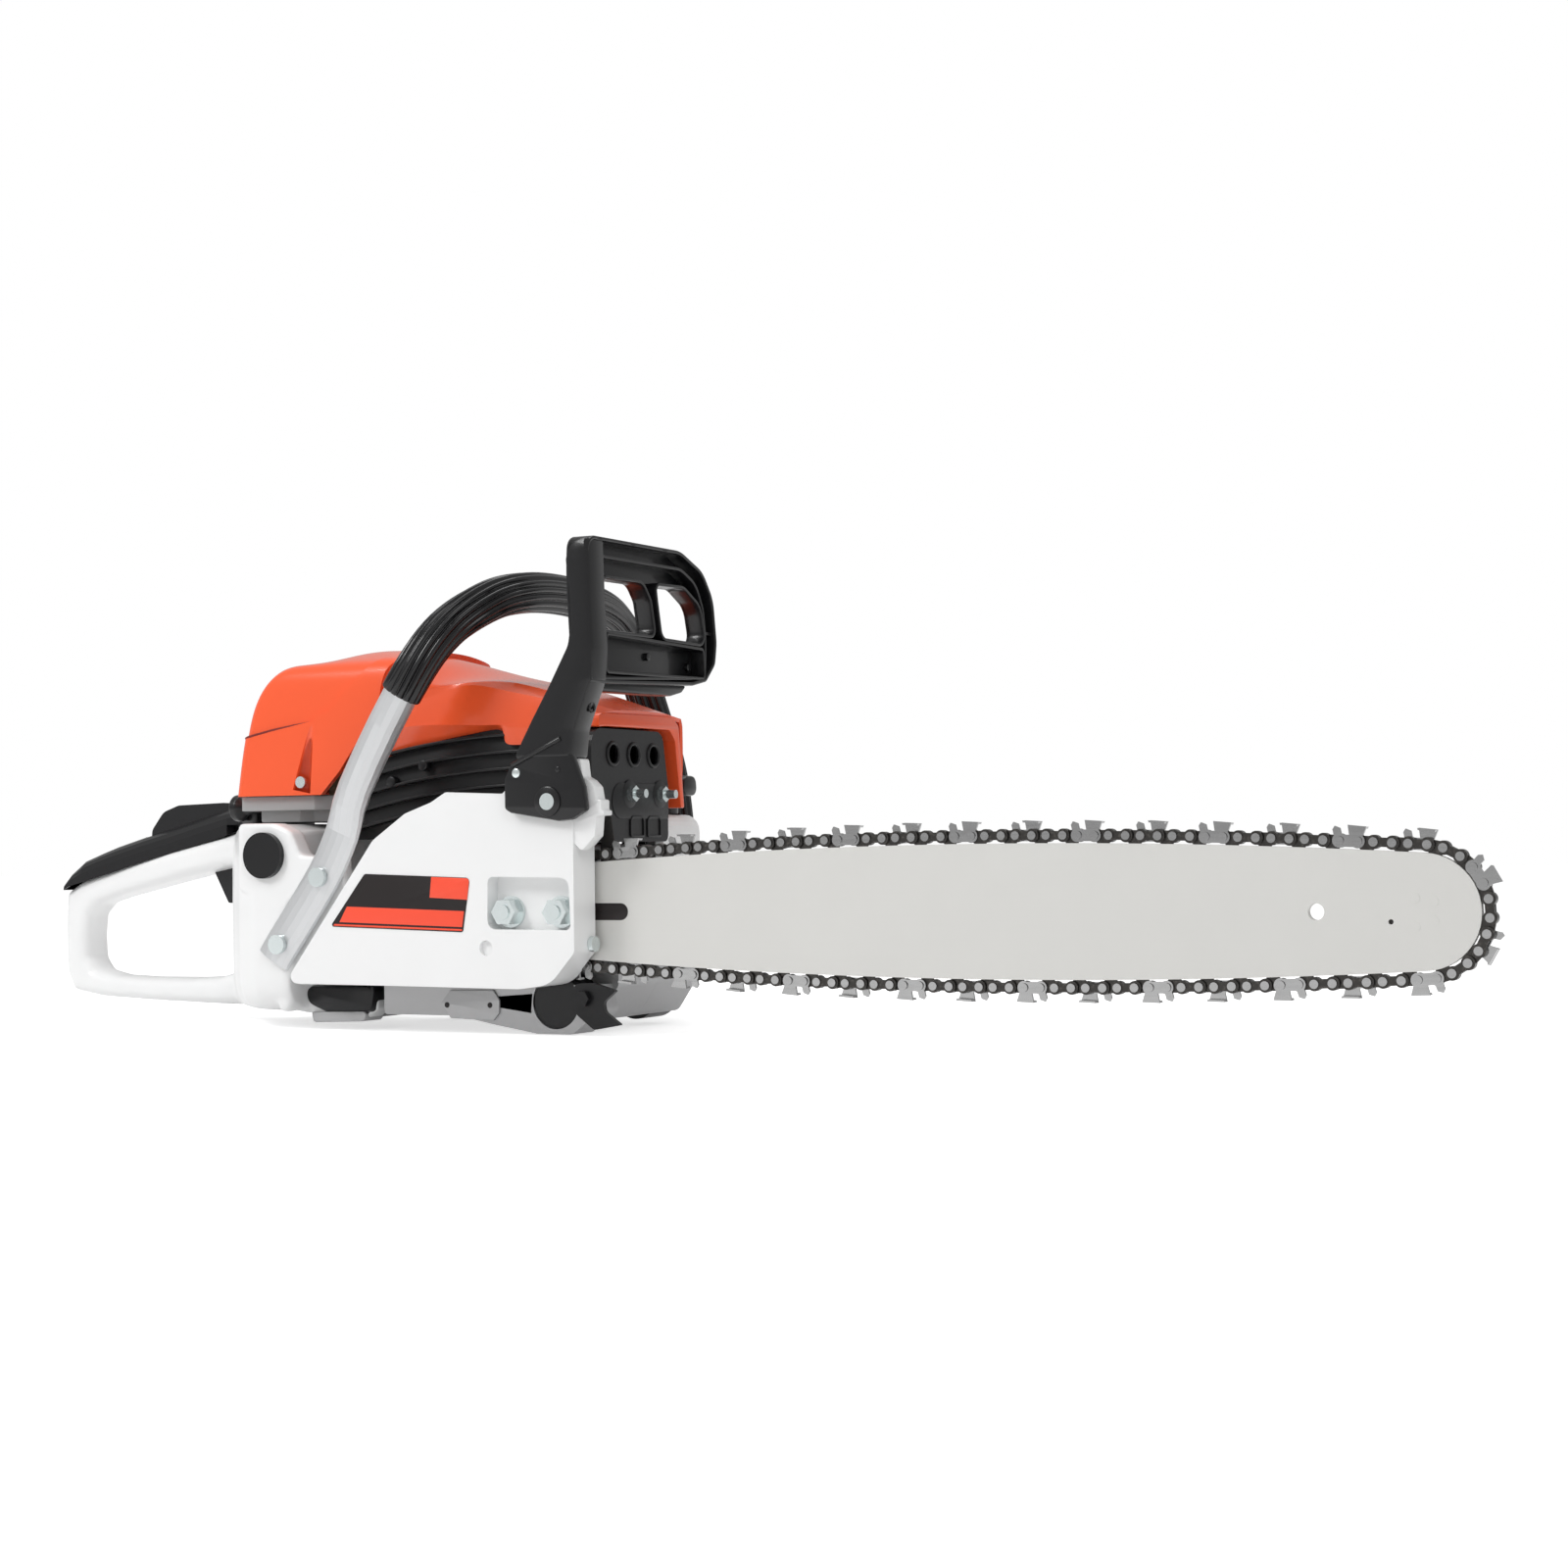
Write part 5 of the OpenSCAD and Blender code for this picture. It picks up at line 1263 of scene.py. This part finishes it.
    def frame(self, paint: Paint) -> None:
        """Makes the frame round the front opening."""
        frame = slab("hood_frame", [rounded(self.outline)], Plane.YZ, *self.frame_x, 0.7)
        put_on(frame, paint, ORANGE)


@dataclass
class Shroud:
    """The black casing with arched fins between the covers and the side cover, in millimetres.

    Args:
        fins: Number of fins.
        pitch: Height between fins.
        half: Half a fin's thickness.
        rear: X and Z of the fins' rear ends.
        front: X and Z of their front ends.
        drop: How far the lowest fin lies under those ends.
        steps: Steps along a fin.
        outline: The casing's outline, X and Z.
        bosses: X and Z of its screw bosses.
    """

    fins: int = 5
    pitch: float = 9.5
    half: float = 0.9
    rear: tuple[float, float] = (-84.0, 118.0)
    front: tuple[float, float] = (40.0, 150.0)
    drop: tuple[float, float] = (6.0, 22.0)
    steps: int = 24
    outline: Keys = (
        (-90, 108), (-88, 133), (-76, 142), (-54, 156), (-40, 163), (-10, 168), (26, 172), (27, 166),
        (52, 166), (66, 150), (66, 108))
    bosses: Keys = ((-50, 141), (-28, 150))

    def arch(self, row: float) -> list[Vector]:
        """A fin's middle line in the side view.

        Args:
            row: Place of the fin, from 0 at the bottom.

        Returns:
            Points in metres.
        """
        points = []
        low = self.rear[1] - self.drop[0] + self.pitch * row
        high = self.front[1] - self.drop[1] + self.pitch * row
        for i in range(self.steps + 1):
            t = i / self.steps
            x = self.rear[0] + (self.front[0] - self.rear[0]) * t
            points.append(Vector((x, low + (high - low) * (1 - (1 - t) ** 2))) * MM)
        return points

    def build(self, paint: Paint) -> None:
        """Makes the casing, its fins and its bosses.

        Args:
            paint: The materials.
        """
        parts = [slab("casing", [flat(self.outline)], Plane.XZ, -45, -42.5, 0.4)]
        thick = Vector((0, self.half * MM))
        for row in range(self.fins):
            line = self.arch(row)
            loop = [p + thick for p in line] + [p - thick for p in line[::-1]]
            parts.append(slab("fin", [loop], Plane.XZ, -49.4, -44, 0.5))
        for x, z in self.bosses:
            parts.append(rod("boss", (x, -49.8, z), (x, -44, z), 3.2, 0.8, 24))
        put_on(joined("shroud", parts), paint, HOT)


@dataclass
class Guard:
    """The hinged hand guard with its channelled front, in millimetres.

    Args:
        pivot: X and Z of its hinge.
        right: Y of its outer face.
        arm: The upright arm: X, Z and corner radius.
        foot: The plate round the hinge.
        panel: The front: Y, Z and corner radius.
        lip: The raised frame on the front.
        windows: The two openings.
        tray: The pocket under the windows.
        ribs: The cross ribs beside the windows: Y of both ends, Z of both edges.
        cheek: The block between the arm and the tray.
        shelf: The ledge under the front.
        face: X at which the front's parts are drawn.
        bow: X of the front at heights.
    """

    pivot: tuple[float, float] = (87.9, 126.8)
    right: float = -101.0
    arm: Corners = (
        (65, 149, 3), (77, 170, 24), (88.8, 189.4, 20), (100.5, 210, 14), (102.4, 222, 14), (101.2, 241, 20),
        (99.6, 256, 8), (102.4, 265.5, 9), (114, 267.6, 2), (114.9, 233.6, 20), (116.2, 208, 16),
        (115, 191, 8), (109.6, 178, 14), (104.5, 164.6, 12), (102.8, 149, 3))
    foot: Corners = (
        (60.2, 123, 3), (60.1, 139.2, 4), (64.3, 147.2, 3), (96, 161.2, 2.5), (99, 160, 2), (103.2, 150.6, 6),
        (109.6, 134.6, 4), (111.4, 122, 2.5), (102, 117, 3), (94, 116.3, 4), (64, 121, 3))
    panel: Corners = (
        (-100.6, 190, 1), (-100.6, 268.4, 7), (0, 268.6, 30), (27.6, 259, 24), (40, 244, 20),
        (41.2, 219, 18), (38, 206, 8), (27.6, 196, 4), (12, 193, 4), (-82, 189.6, 3))
    lip: Corners = (
        (-97.6, 191, 1), (-97.6, 259.3, 9), (3, 259.4, 26), (22, 252, 20), (29.4, 238, 16), (30.4, 222, 10),
        (28, 197, 3))
    windows: tuple[Corners, ...] = (
        ((-84.5, 219, 3), (-84, 246.6, 6), (-40, 247, 10), (-32.4, 238, 8), (-29.4, 219, 4)),
        ((-20.6, 218.4, 5), (-24.6, 247, 3), (6, 247.6, 14), (24.6, 238.4, 12), (28.4, 217.6, 6)))
    tray: Corners = (
        (-82.5, 197, 2), (-81.5, 216, 2), (24.6, 213.6, 2), (26, 198.6, 2))
    ribs: tuple[tuple[float, float, float, float], ...] = ((-97, -84, 227.4, 229.2), (29, 40, 223.4, 225))
    cheek: Corners = ((-99, 190.4, 1), (-99, 212, 1), (-84.6, 212, 1), (-84.6, 190.4, 1))
    shelf: Corners = ((-82, 186, 2), (-82, 190.5, 1), (14, 193.5, 1), (8, 189, 3), (-4, 186.6, 4))
    face: float = 115.0
    bow: Keys = ((188, 115), (208, 115.4), (222, 114.8), (242, 113.8), (256, 113.8), (270, 114.6))

    @staticmethod
    def inside(corners: Sequence[Corner], depth: float) -> list[Vector]:
        """An outline moved inwards, with its corner radii cut down to suit.

        Args:
            corners: Corner points and radii in millimetres.
            depth: Distance inwards, or outwards where it is below 0.

        Returns:
            The rounded loop.
        """
        moved = inset([Vector((a, b)) * MM for a, b, _ in corners], depth)
        return dense(rounded([(p.x / MM, p.y / MM, max(1.0, corner[2] - depth))
                              for p, corner in zip(moved, corners)]))

    def bend(self, p: Vector) -> Vector:
        """Moves a point of the flat front to its bowed place."""
        return Vector((p.x + (through(self.bow, p.z / MM) - self.face) * MM, p.y, p.z))

    def front(self, name: str, loops: Sequence[Sequence[Vector]], low: float, high: float,
              edge: float = 0.6) -> bpy.types.Object:
        """A part of the bowed front.

        Args:
            name: Name of the part.
            loops: Its outlines in metres.
            low: X of its back, in millimetres.
            high: X of its front.
            edge: Radius of its edges.

        Returns:
            The part.
        """
        return slab(name, loops, Plane.YZ, low, high, edge, self.bend)

    def build(self, paint: Paint) -> None:
        """Makes the guard and its rivets.

        Args:
            paint: The materials.
        """
        outline = dense(rounded(self.panel))
        holes = [dense(rounded(window)) for window in self.windows]
        parts = [
            self.front("web", [outline, *holes], 102.6, 105.2, 0.5),
            self.front("rim", [outline, self.inside(self.panel, 2.2)], 101.5, 115, 0.9),
            slab("arm", [dense(rounded(self.arm))], Plane.XZ, -101.1, -83, 2.2),
            slab("foot", [rounded(self.foot)], Plane.XZ, self.right, self.right + 5.5, 1.4),
            self.front("lip", [dense(rounded(self.lip)), self.inside(self.lip, 1.9)], 103, 114),
        ]
        for window, hole in zip(self.windows, holes):
            parts.append(self.front("funnel", [self.inside(window, -1.9), hole], 102.8, 114.2))
        wall, well, ground = (self.inside(self.tray, depth) for depth in (-1.8, 0, -1))
        parts.append(self.front("tray_wall", [wall, well], 103, 114.6))
        parts.append(self.front("tray_floor", [ground], 103, 106, 0.4))
        for y, z in ((-27, 207.5), (19, 204)):
            parts.append(rod("stud", (105, y, z), (108.5, y, z), 2.2, 0.5, 24))
        for start, end, low, high in self.ribs:
            rib = flat(((start, low), (start, high), (end, high), (end, low)))
            parts.append(self.front("rib", [rib], 103, 112.5, 0.3))
        parts.append(self.front("cheek", [rounded(self.cheek)], 108, 114.4, 0.5))
        parts.append(slab("shelf", [rounded(self.shelf)], Plane.YZ, 98, 110, 1.2))
        x, z = self.pivot
        y = self.right
        parts.append(rod("boss", (x, y + 3, z), (x, y - 1.1, z), 8.2, 0.8))
        parts.append(rod("ridge", (65.4, y + 0.2, 146.6), (96.4, y - 0.2, 160.4), 1.3, 0.4, 16))
        parts.append(ring_lip("arm_hole", Plane.YZ, (-90.5, 177, 109.6), 2.6, 0.7))
        parts.append(rod("dimple", (94.3, y - 0.4, 143.8), (94.3, y + 1, 143.8), 1.6, 0.4, 20))
        put_on(joined("guard", parts), paint, BLACK, "guard", "hand_guard")
        rivet = rod("guard_rivet", (68.3, y - 0.9, 142.4), (68.3, y + 1, 142.4), 2.6, 0.6, 24)
        put_on(rivet, paint, ZINC, "guard")


@dataclass
class Sleeve:
    """The ribbed rubber sleeve on the front handle.

    Args:
        points: The tube's middle line, in millimetres.
        steps: Rings between two points.
        first: First point that the sleeve covers.
        last: Last point that it covers.
        radius: Radius of the grooves' floor.
        ribs: Number of ribs.
        rib: Height of a rib.
        fine: Points round one rib.
        ends: Share of the full thickness on the rings past the sleeve's ends.
    """

    points: tuple[Point, ...] = (
        (-59, -84, 112), (-50, -84, 137), (-19, -83, 189), (0, -73, 221), (16, -52, 240), (24, -22, 248),
        (26, 20, 249), (25, 60, 245), (22, 88, 235), (21, 107, 216), (25, 116, 190), (36, 120, 150),
        (41, 121, 112), (44, 118, 82))
    steps: int = 7
    first: int = 2
    last: int = 13
    radius: float = 10.3
    ribs: int = 15
    rib: float = 1.7
    fine: int = 12
    ends: tuple[float, float] = (0.55, 0.0)

    def at(self, t: float) -> Vector:
        """A place on the middle line.

        Args:
            t: Number of points passed.

        Returns:
            The place in millimetres.
        """
        i = min(int(t), len(self.points) - 2)
        a, b, c, d = (Vector(self.points[k]) for k in (max(i - 1, 0), i, i + 1,
                                                      min(i + 2, len(self.points) - 1)))
        f = t - i
        return 0.5 * (2 * b + (c - a) * f + (2 * a - 5 * b + 4 * c - d) * f**2
                      + (3 * b - a - 3 * c + d) * f**3)

    def build(self, paint: Paint) -> None:
        """Makes the sleeve.

        Args:
            paint: The materials.
        """
        around = self.ribs * self.fine
        count = (self.last - self.first) * self.steps
        rings = []
        for k in range(-2, count + 3):
            t = self.first + min(max(k, 0), count) / self.steps
            here = self.at(t)
            along = (self.at(t + 0.02) - self.at(t - 0.02)).normalized()
            side = along.cross(Vector((1, 0, 0))).normalized()
            up = along.cross(side)
            past = max(-k, k - count)
            end = self.ends[past - 1] if past > 0 else 1.0
            if past > 0:
                here = here + along * math.copysign(1.2, k) * (1 - end * 0.6)
            ring = []
            for j in range(around):
                angle = math.tau * j / around
                wave = abs(math.cos(angle * self.ribs / 2))
                reach = self.radius - 0.7 + (0.5 + self.rib * wave) * end
                ring.append(here + side * math.cos(angle) * reach + up * math.sin(angle) * reach)
            rings.append(ring)
        sleeve = mesh_piece("sleeve", sweep(rings)[0], smooth=True)
        put_on(sleeve, paint, GRIP, node="handle_grip")


@dataclass
class Label:
    """The bare label blocks on the side cover.

    Args:
        face: Y of the cover's outer face, in millimetres.
        ground: The black ground: X, Z and corner radius.
        blocks: The orange blocks on it.
    """

    face: float = -94.5
    ground: Corners = ((-60, 59.4, 1.2), (28.8, 56.6, 1.5), (33.6, 86.3, 2.5), (-36.4, 88.8, 2.5))
    blocks: tuple[Corners, ...] = (
        ((7.2, 75.5, 0), (31.8, 74.3, 0), (33.4, 86.0, 2), (8.4, 86.9, 0)),
        ((-53.6, 61.9, 0), (28.4, 59.4, 0), (29.7, 68.1, 0), (-48.4, 70.6, 0)),
        ((-57.6, 59.9, 0), (28.2, 57.3, 0), (28.35, 58.3, 0), (-57, 60.9, 0)))

    def build(self, paint: Paint) -> None:
        """Makes the black ground and the orange blocks.

        Args:
            paint: The materials.
        """
        ground = slab("label_ground", [rounded(self.ground)], Plane.XZ, self.face - 0.3, self.face - 0.01,
                      0.08)
        put_on(ground, paint, PRINT, node="cover_label")
        blocks = [slab("block", [rounded(corners)], Plane.XZ, self.face - 0.38, self.face - 0.28, 0.02)
                  for corners in self.blocks]
        put_on(joined("label_blocks", blocks), paint, PRINT_RED)


@dataclass
class Muffler:
    """The stamped front of the muffler, in millimetres.

    Args:
        front: X of its face.
        holes: Y of the outlet holes.
        hole_z: Their height.
        bolts: Y of the bolts.
        bolt_z: Their height.
        boss: The stamped boss: Y, Z and corner radius.
        panels: Y between which the stamped frames below it lie.
        panel_z: Height between which they lie.
    """

    front: float = 87.5
    holes: tuple[float, ...] = (-31.7, -8.9, 13.3)
    hole_z: float = 154.0
    bolts: tuple[float, ...] = (-14.0, 20.0)
    bolt_z: float = 132.0
    boss: Corners = ((-33.5, 117.8, 10), (-33.5, 138.2, 10), (30, 138.2, 1), (30, 117.8, 1))
    panels: Keys = ((-14, 2), (5, 21))
    panel_z: tuple[float, float] = (107.4, 120.0)

    def build(self, paint: Paint) -> None:
        """Makes the lips, the bolt seats, the boss and the stamped frames.

        Args:
            paint: The materials.
        """
        x = self.front
        parts = [ring_lip("lip", Plane.YZ, (y, self.hole_z, x), 6.2, 1.1) for y in self.holes]
        for y in self.bolts:
            parts.append(rod("seat", (x - 0.5, y, self.bolt_z), (x + 0.8, y, self.bolt_z), 8.0, 0.6))
        parts.append(slab("boss", [rounded(self.boss, 10)], Plane.YZ, x - 0.9, x + 0.5, 0.5))
        foot, top = self.panel_z
        for low, high in self.panels:
            panel = rounded(((low, foot, 2), (low, top, 4), (high, top, 4), (high, foot, 2)))
            parts.append(slab("panel", [panel, inset(panel, 1.4)], Plane.YZ, x - 0.4, x + 0.9, 0.4))
        put_on(joined("muffler_stamp", parts), paint, HOT)


@dataclass
class RearHandle:
    """The white rear handle and tank, blended to one moulding, in millimetres.

    Args:
        loop: Inner and outer X and Z of the loop, from the top front round to the bottom front.
        tank: Sections of the tank: X, reach right, reach left, bottom and top.
        half: Half the width of the loop at places along X.
        seat: The plate under the front handle's foot: X, Z and corner radius.
        ear: The plate round the buffer's plug.
        foot: The plate under the front handle's seat.
        loop_sides: Points round the loop's section, and the power that squares it.
        tank_sides: Points round the tank's section, and its power.
        mesh: Size of the blending mesh.
    """

    loop: tuple[tuple[float, float, float, float], ...] = (
        (-170, 96, -168, 117), (-184, 93.5, -184, 115), (-198, 92, -200, 112), (-222, 87.6, -220, 107.8),
        (-245, 83, -242, 103.8), (-266, 78.4, -266, 98), (-286, 74, -291, 92), (-301, 70, -315, 85.4),
        (-308.5, 62, -328, 78), (-310, 50, -329, 53), (-309, 37, -328.4, 27), (-303, 29, -323, 15.6),
        (-288, 25.6, -300, 12), (-262, 24.6, -262, 10.4), (-225, 24.8, -222, 9.2), (-205, 26, -200, 8.6),
        (-186, 31, -183, 8.6), (-172, 38, -170, 8.6))
    tank: tuple[tuple[float, float, float, float, float], ...] = (
        (-190.5, -13, 13, 9.6, 115.4), (-187, -20, 20, 9.2, 117), (-177, -33, 33, 9, 118),
        (-164, -50, 47, 9, 118), (-150, -66, 56, 9, 118), (-136, -79, 60, 9, 118), (-122, -84, 62, 9, 117.8),
        (-103, -84, 62, 9, 114), (-98.5, -83, 61, 10, 101))
    half: Keys = ((-330, 12.5), (-300, 13), (-262, 16), (-225, 18))
    seat: Corners = ((-108, 10, 3), (-100, 10, 3), (-100, 28, 0), (-60, 80, 4), (-62, 98.5, 3), (-108, 99, 3))
    ear: Corners = ((-133, 80, 0), (-133, 118, 2), (-107, 118, 8), (-95.6, 113, 6), (-89, 99.6, 3),
                    (-75, 98.6, 2), (-75, 88, 0), (-100, 70, 3))
    foot: Corners = ((-105, 9, 2), (-58, 6, 3), (-50, 12, 3), (-52, 22, 2), (-66, 34, 6), (-105, 34, 2))
    loop_sides: tuple[int, float] = (24, 0.68)
    tank_sides: tuple[int, float] = (40, 0.3)
    mesh: float = 1.7

    @staticmethod
    def squared(sides: int, power: float) -> list[tuple[float, float]]:
        """A squared circle.

        Args:
            sides: Number of points.
            power: Below 1 it is squarer.

        Returns:
            Both coordinates of every point, from -1 to 1.
        """
        turns = [math.tau * i / sides for i in range(sides)]
        return [(math.copysign(abs(math.cos(turn)) ** power, math.cos(turn)),
                 math.copysign(abs(math.sin(turn)) ** power, math.sin(turn))) for turn in turns]

    def tube(self) -> bpy.types.Object:
        """Makes the loop as a closed mesh."""
        rings = []
        for inner_x, inner_z, outer_x, outer_z in self.loop:
            inner, outer = Vector((inner_x, 0, inner_z)), Vector((outer_x, 0, outer_z))
            half = through(self.half, inner_x)
            rings.append([(inner + outer) / 2 + (outer - inner) / 2 * c + Vector((0, q * half, 0))
                          for c, q in self.squared(*self.loop_sides)])
        return skin("loop", rings)

    def body(self) -> bpy.types.Object:
        """Makes the tank as a closed mesh."""
        rings = []
        for x, right, left, low, high in self.tank:
            rings.append([Vector((x, (left + right) / 2 + (left - right) / 2 * c,
                                  (low + high) / 2 + (high - low) / 2 * q))
                          for c, q in self.squared(*self.tank_sides)])
        return skin("tank", rings)

    def build(self, paint: Paint) -> None:
        """Makes the moulding with its seats for the plug and the front handle.

        Args:
            paint: The materials.
        """
        moulding = joined("rear_moulding", [
            self.tube(), self.body(), slab("seat", [rounded(self.seat)], Plane.XZ, -79.9, -70, 0.4),
            slab("ear", [rounded(self.ear)], Plane.XZ, -84.1, -70, 0.4),
            slab("foot", [rounded(self.foot)], Plane.XZ, -64, -48, 0.4)])
        blend = moulding.modifiers.new("blend", "REMESH")
        blend.mode = "VOXEL"
        blend.voxel_size = self.mesh * MM
        blend.use_smooth_shade = True
        relax = moulding.modifiers.new("relax", "SMOOTH")
        relax.factor, relax.iterations = 0.5, 4
        bake(moulding)
        put_on(moulding, paint, WHITE, node="rear_handle")


@dataclass(frozen=True)
class Sheet:
    """A flat part of a moulding, in millimetres.

    Args:
        plane: The plane of its outline.
        corners: The outline: two places and the corner radius.
        low: Lower end of the thickness.
        high: Upper end of the thickness.
        edge: Radius of its edges.
    """

    plane: Plane
    corners: Corners
    low: float
    high: float
    edge: float

    def build(self, name: str) -> bpy.types.Object:
        """Makes the part under a name."""
        return slab(name, [rounded(self.corners)], self.plane, self.low, self.high, self.edge)


@dataclass(frozen=True)
class Peg:
    """A round part of a moulding, in millimetres.

    Args:
        start: Middle of one end.
        end: Middle of the other end.
        radius: Its radius.
        edge: Width of the rims' rounding.
        sides: Number of sides.
    """

    start: Point
    end: Point
    radius: float
    edge: float
    sides: int = 40

    def build(self, name: str) -> bpy.types.Object:
        """Makes the part under a name."""
        return rod(name, self.start, self.end, self.radius, self.edge, self.sides)


@dataclass(frozen=True)
class Lip:
    """A rolled lip of a moulding, in millimetres.

    Args:
        plane: The plane of the lip.
        middle: Its middle: two places in the plane and the one across.
        radius: Radius of its middle line.
        thick: Radius of its section.
    """

    plane: Plane
    middle: Point
    radius: float
    thick: float

    def build(self, name: str) -> bpy.types.Object:
        """Makes the part under a name."""
        return ring_lip(name, self.plane, self.middle, self.radius, self.thick)


@dataclass(frozen=True)
class Moulding:
    """A small moulding of one finish.

    Args:
        name: Name of the piece.
        finish: Its finish.
        parts: Its parts.
        node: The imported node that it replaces, if any.
    """

    name: str
    finish: Finish
    parts: tuple[Sheet | Peg | Lip, ...]
    node: str = ""

    def build(self, paint: Paint) -> None:
        """Makes the moulding."""
        piece = joined(self.name, [part.build(self.name) for part in self.parts])
        put_on(piece, paint, self.finish, node=self.node)


@dataclass(frozen=True)
class Starter:
    """The starter's pull grip and the cord that pays out with it, in millimetres.

    Args:
        x: X of the cord.
        y: Y of the cord.
        eyelet: Height at which the cord leaves the housing.
        knot: Height of the cord's end in the grip.
        cord: Radius of the cord.
        half: Half the grip's length.
    """

    x: float = 60.0
    y: float = 78.0
    eyelet: float = 118.0
    knot: float = 126.0
    cord: float = 1.9
    half: float = 16.0

    def build(self, paint: Paint) -> None:
        """Makes the grip and the cord.

        Args:
            paint: The materials.
        """
        x, y = self.x, self.y
        bar = rounded(((y - 7, 144, 5), (y + 7, 144, 5), (y + 9, 132, 5), (y - 9, 132, 5)))
        grip = joined("pull_grip", [slab("bar", [bar], Plane.YZ, x - self.half, x + self.half, 1.5),
                                    rod("stem", (x, y, 121.4), (x, y, 134), 6.4, 0.8)])
        put_on(grip, paint, BLACK, "pull_handle", "starter_handle")
        low, high = (x, y, self.eyelet), (x, y, self.knot)
        cord = rod("starter_cord", low, high, self.cord, 0)
        cord.data.materials.append(paint.get(CORD))
        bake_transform(cord)
        log.info("%s: %s", cord.name, CORD.name)


@dataclass
class Trim:
    """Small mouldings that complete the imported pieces.

    Args:
        plug: The round plug on the tank's side.
        starter: The starter's grip and cord.
        mouldings: The other mouldings.
    """

    plug: Moulding = Moulding("tank_plug", RUBBER, (
        Lip(Plane.XZ, (-113, 99.6, -85.6), 11, 2.1),
        Peg((-113, -80, 99.6), (-113, -85, 99.6), 10.6, 0.6),
        Lip(Plane.XZ, (-113, 99.6, -85.1), 7.8, 0.5)))
    starter: Starter = Starter()
    mouldings: tuple[Moulding, ...] = (
        Moulding("cover_tower", WHITE, (
            Sheet(Plane.XZ, (
                (90, 112, 1), (90, 138, 1), (97, 149.6, 2), (104, 149.6, 1.5), (105.2, 140, 1), (109, 138, 2),
                (112.6, 134.4, 2), (113.8, 127.8, 1), (116.4, 127.4, 1), (116.4, 122.2, 1),
                (118, 121.6, 0.8), (118, 119, 0.8), (113.4, 118.8, 1), (112.4, 108, 2), (104, 100, 2)),
                  -93.4, -84, 0.9),)),
        Moulding("cover_socket", WHITE, (Peg((43.6, -90.1, 48), (43.6, -91.9, 48), 4.6, 0.3),)),
        # Painted shade: a thin black sheet stands for the dark inside of the bar slot.
        Moulding("bar_slot", PRINT, (
            Sheet(Plane.XZ, ((92, 62.6, 2), (92, 71.8, 2), (118.2, 71.8, 4.5), (118.2, 62.6, 4.5)),
                  -69.37, -68.95, 0.05),)),
        Moulding("grip_tail", BLACK, (
            Sheet(Plane.XY, (
                (-186, -17, 2), (-176, -25, 4), (-161.6, -31, 3), (-161.6, 31, 3), (-176, 25, 4),
                (-186, 17, 2)), 116, 130.4, 1.5),)),
        Moulding("filter_base", GREY, (
            Sheet(Plane.XY, (
                (-160.4, -47.6, 4), (-105.6, -47.6, 1.5), (-93, -38, 2), (-93, 40, 2), (-105, 48, 2),
                (-160.4, 48, 5)), 125.8, 134.3, 0.6),
            Sheet(Plane.XY, (
                (-152, -40, 4), (-122, -40, 2), (-116, -34, 2), (-96, -34, 2), (-96, 36, 2),
                (-152, 38, 4)), 119, 126.5, 1.0)), "air_box"),
        Moulding("rear_buffer", RUBBER, (
            Sheet(Plane.XZ, (
                (-99, 24.6, 5), (-97.4, 14, 7), (-84, 9, 8), (-52, 10, 3), (-50, 22, 3), (-51, 26.6, 2)),
                  -67.5, -50, 3.0),
            Sheet(Plane.XZ, ((30, 13, 1), (30, 22, 1), (56, 24, 1), (56, 10, 1)), -66, -54, 2.0))),
        Moulding("under_plate", CASE, (
            Sheet(Plane.XZ, ((-95, 9.4, 1), (-93.6, 3.4, 2), (-58, 4.6, 3), (-56, 10.4, 2)), -66.4, -48, 0.8),
            Sheet(Plane.XZ, (
                (-4.6, 16.2, 1), (1.8, 23.4, 1), (30, 23.8, 1), (34.2, 18, 1), (33.8, 11, 1), (30, 6.8, 1),
                (1.6, 7.6, 1)), -67.4, -65, 0.5))),
        # Painted shade: black discs stand for the dark insides of two holes in the plate.
        Moulding("plate_hole_shade", PRINT, (
            Peg((-0.5, -67.6, 15), (-0.5, -66, 15), 1.6, 0.1, 20),
            Peg((28, -67.6, 15.3), (28, -66, 15.3), 1.6, 0.1, 20))))

    def build(self, paint: Paint) -> None:
        """Makes the trim."""
        for part in (self.plug, self.starter, *self.mouldings):
            part.build(paint)


def dress_frame(nodes: dict[str, bpy.types.Object], paint: Paint) -> None:
    """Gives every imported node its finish.

    Args:
        nodes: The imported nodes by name.
        paint: The materials.
    """
    for name, width in SOFT_EDGES.items():
        soften(nodes[name], width)
    for finish, names in CAD_FINISH.items():
        for name in names:
            for slot in nodes[name].material_slots:
                slot.material = paint.get(finish)
            log.info("%s: %s", name, finish.name)


def main() -> None:
    """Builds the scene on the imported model."""
    logging.basicConfig(level=logging.INFO)
    studio = Studio()
    studio.camera()
    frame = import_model()
    paint = Paint()
    studio.build()
    dress_frame(frame["nodes"], paint)
    for assembly in (Hood(), Shroud(), RearHandle(), Trim(), Guard(), Sleeve(), Label(), Muffler()):
        assembly.build(paint)


if __name__ == "__main__":
    main()
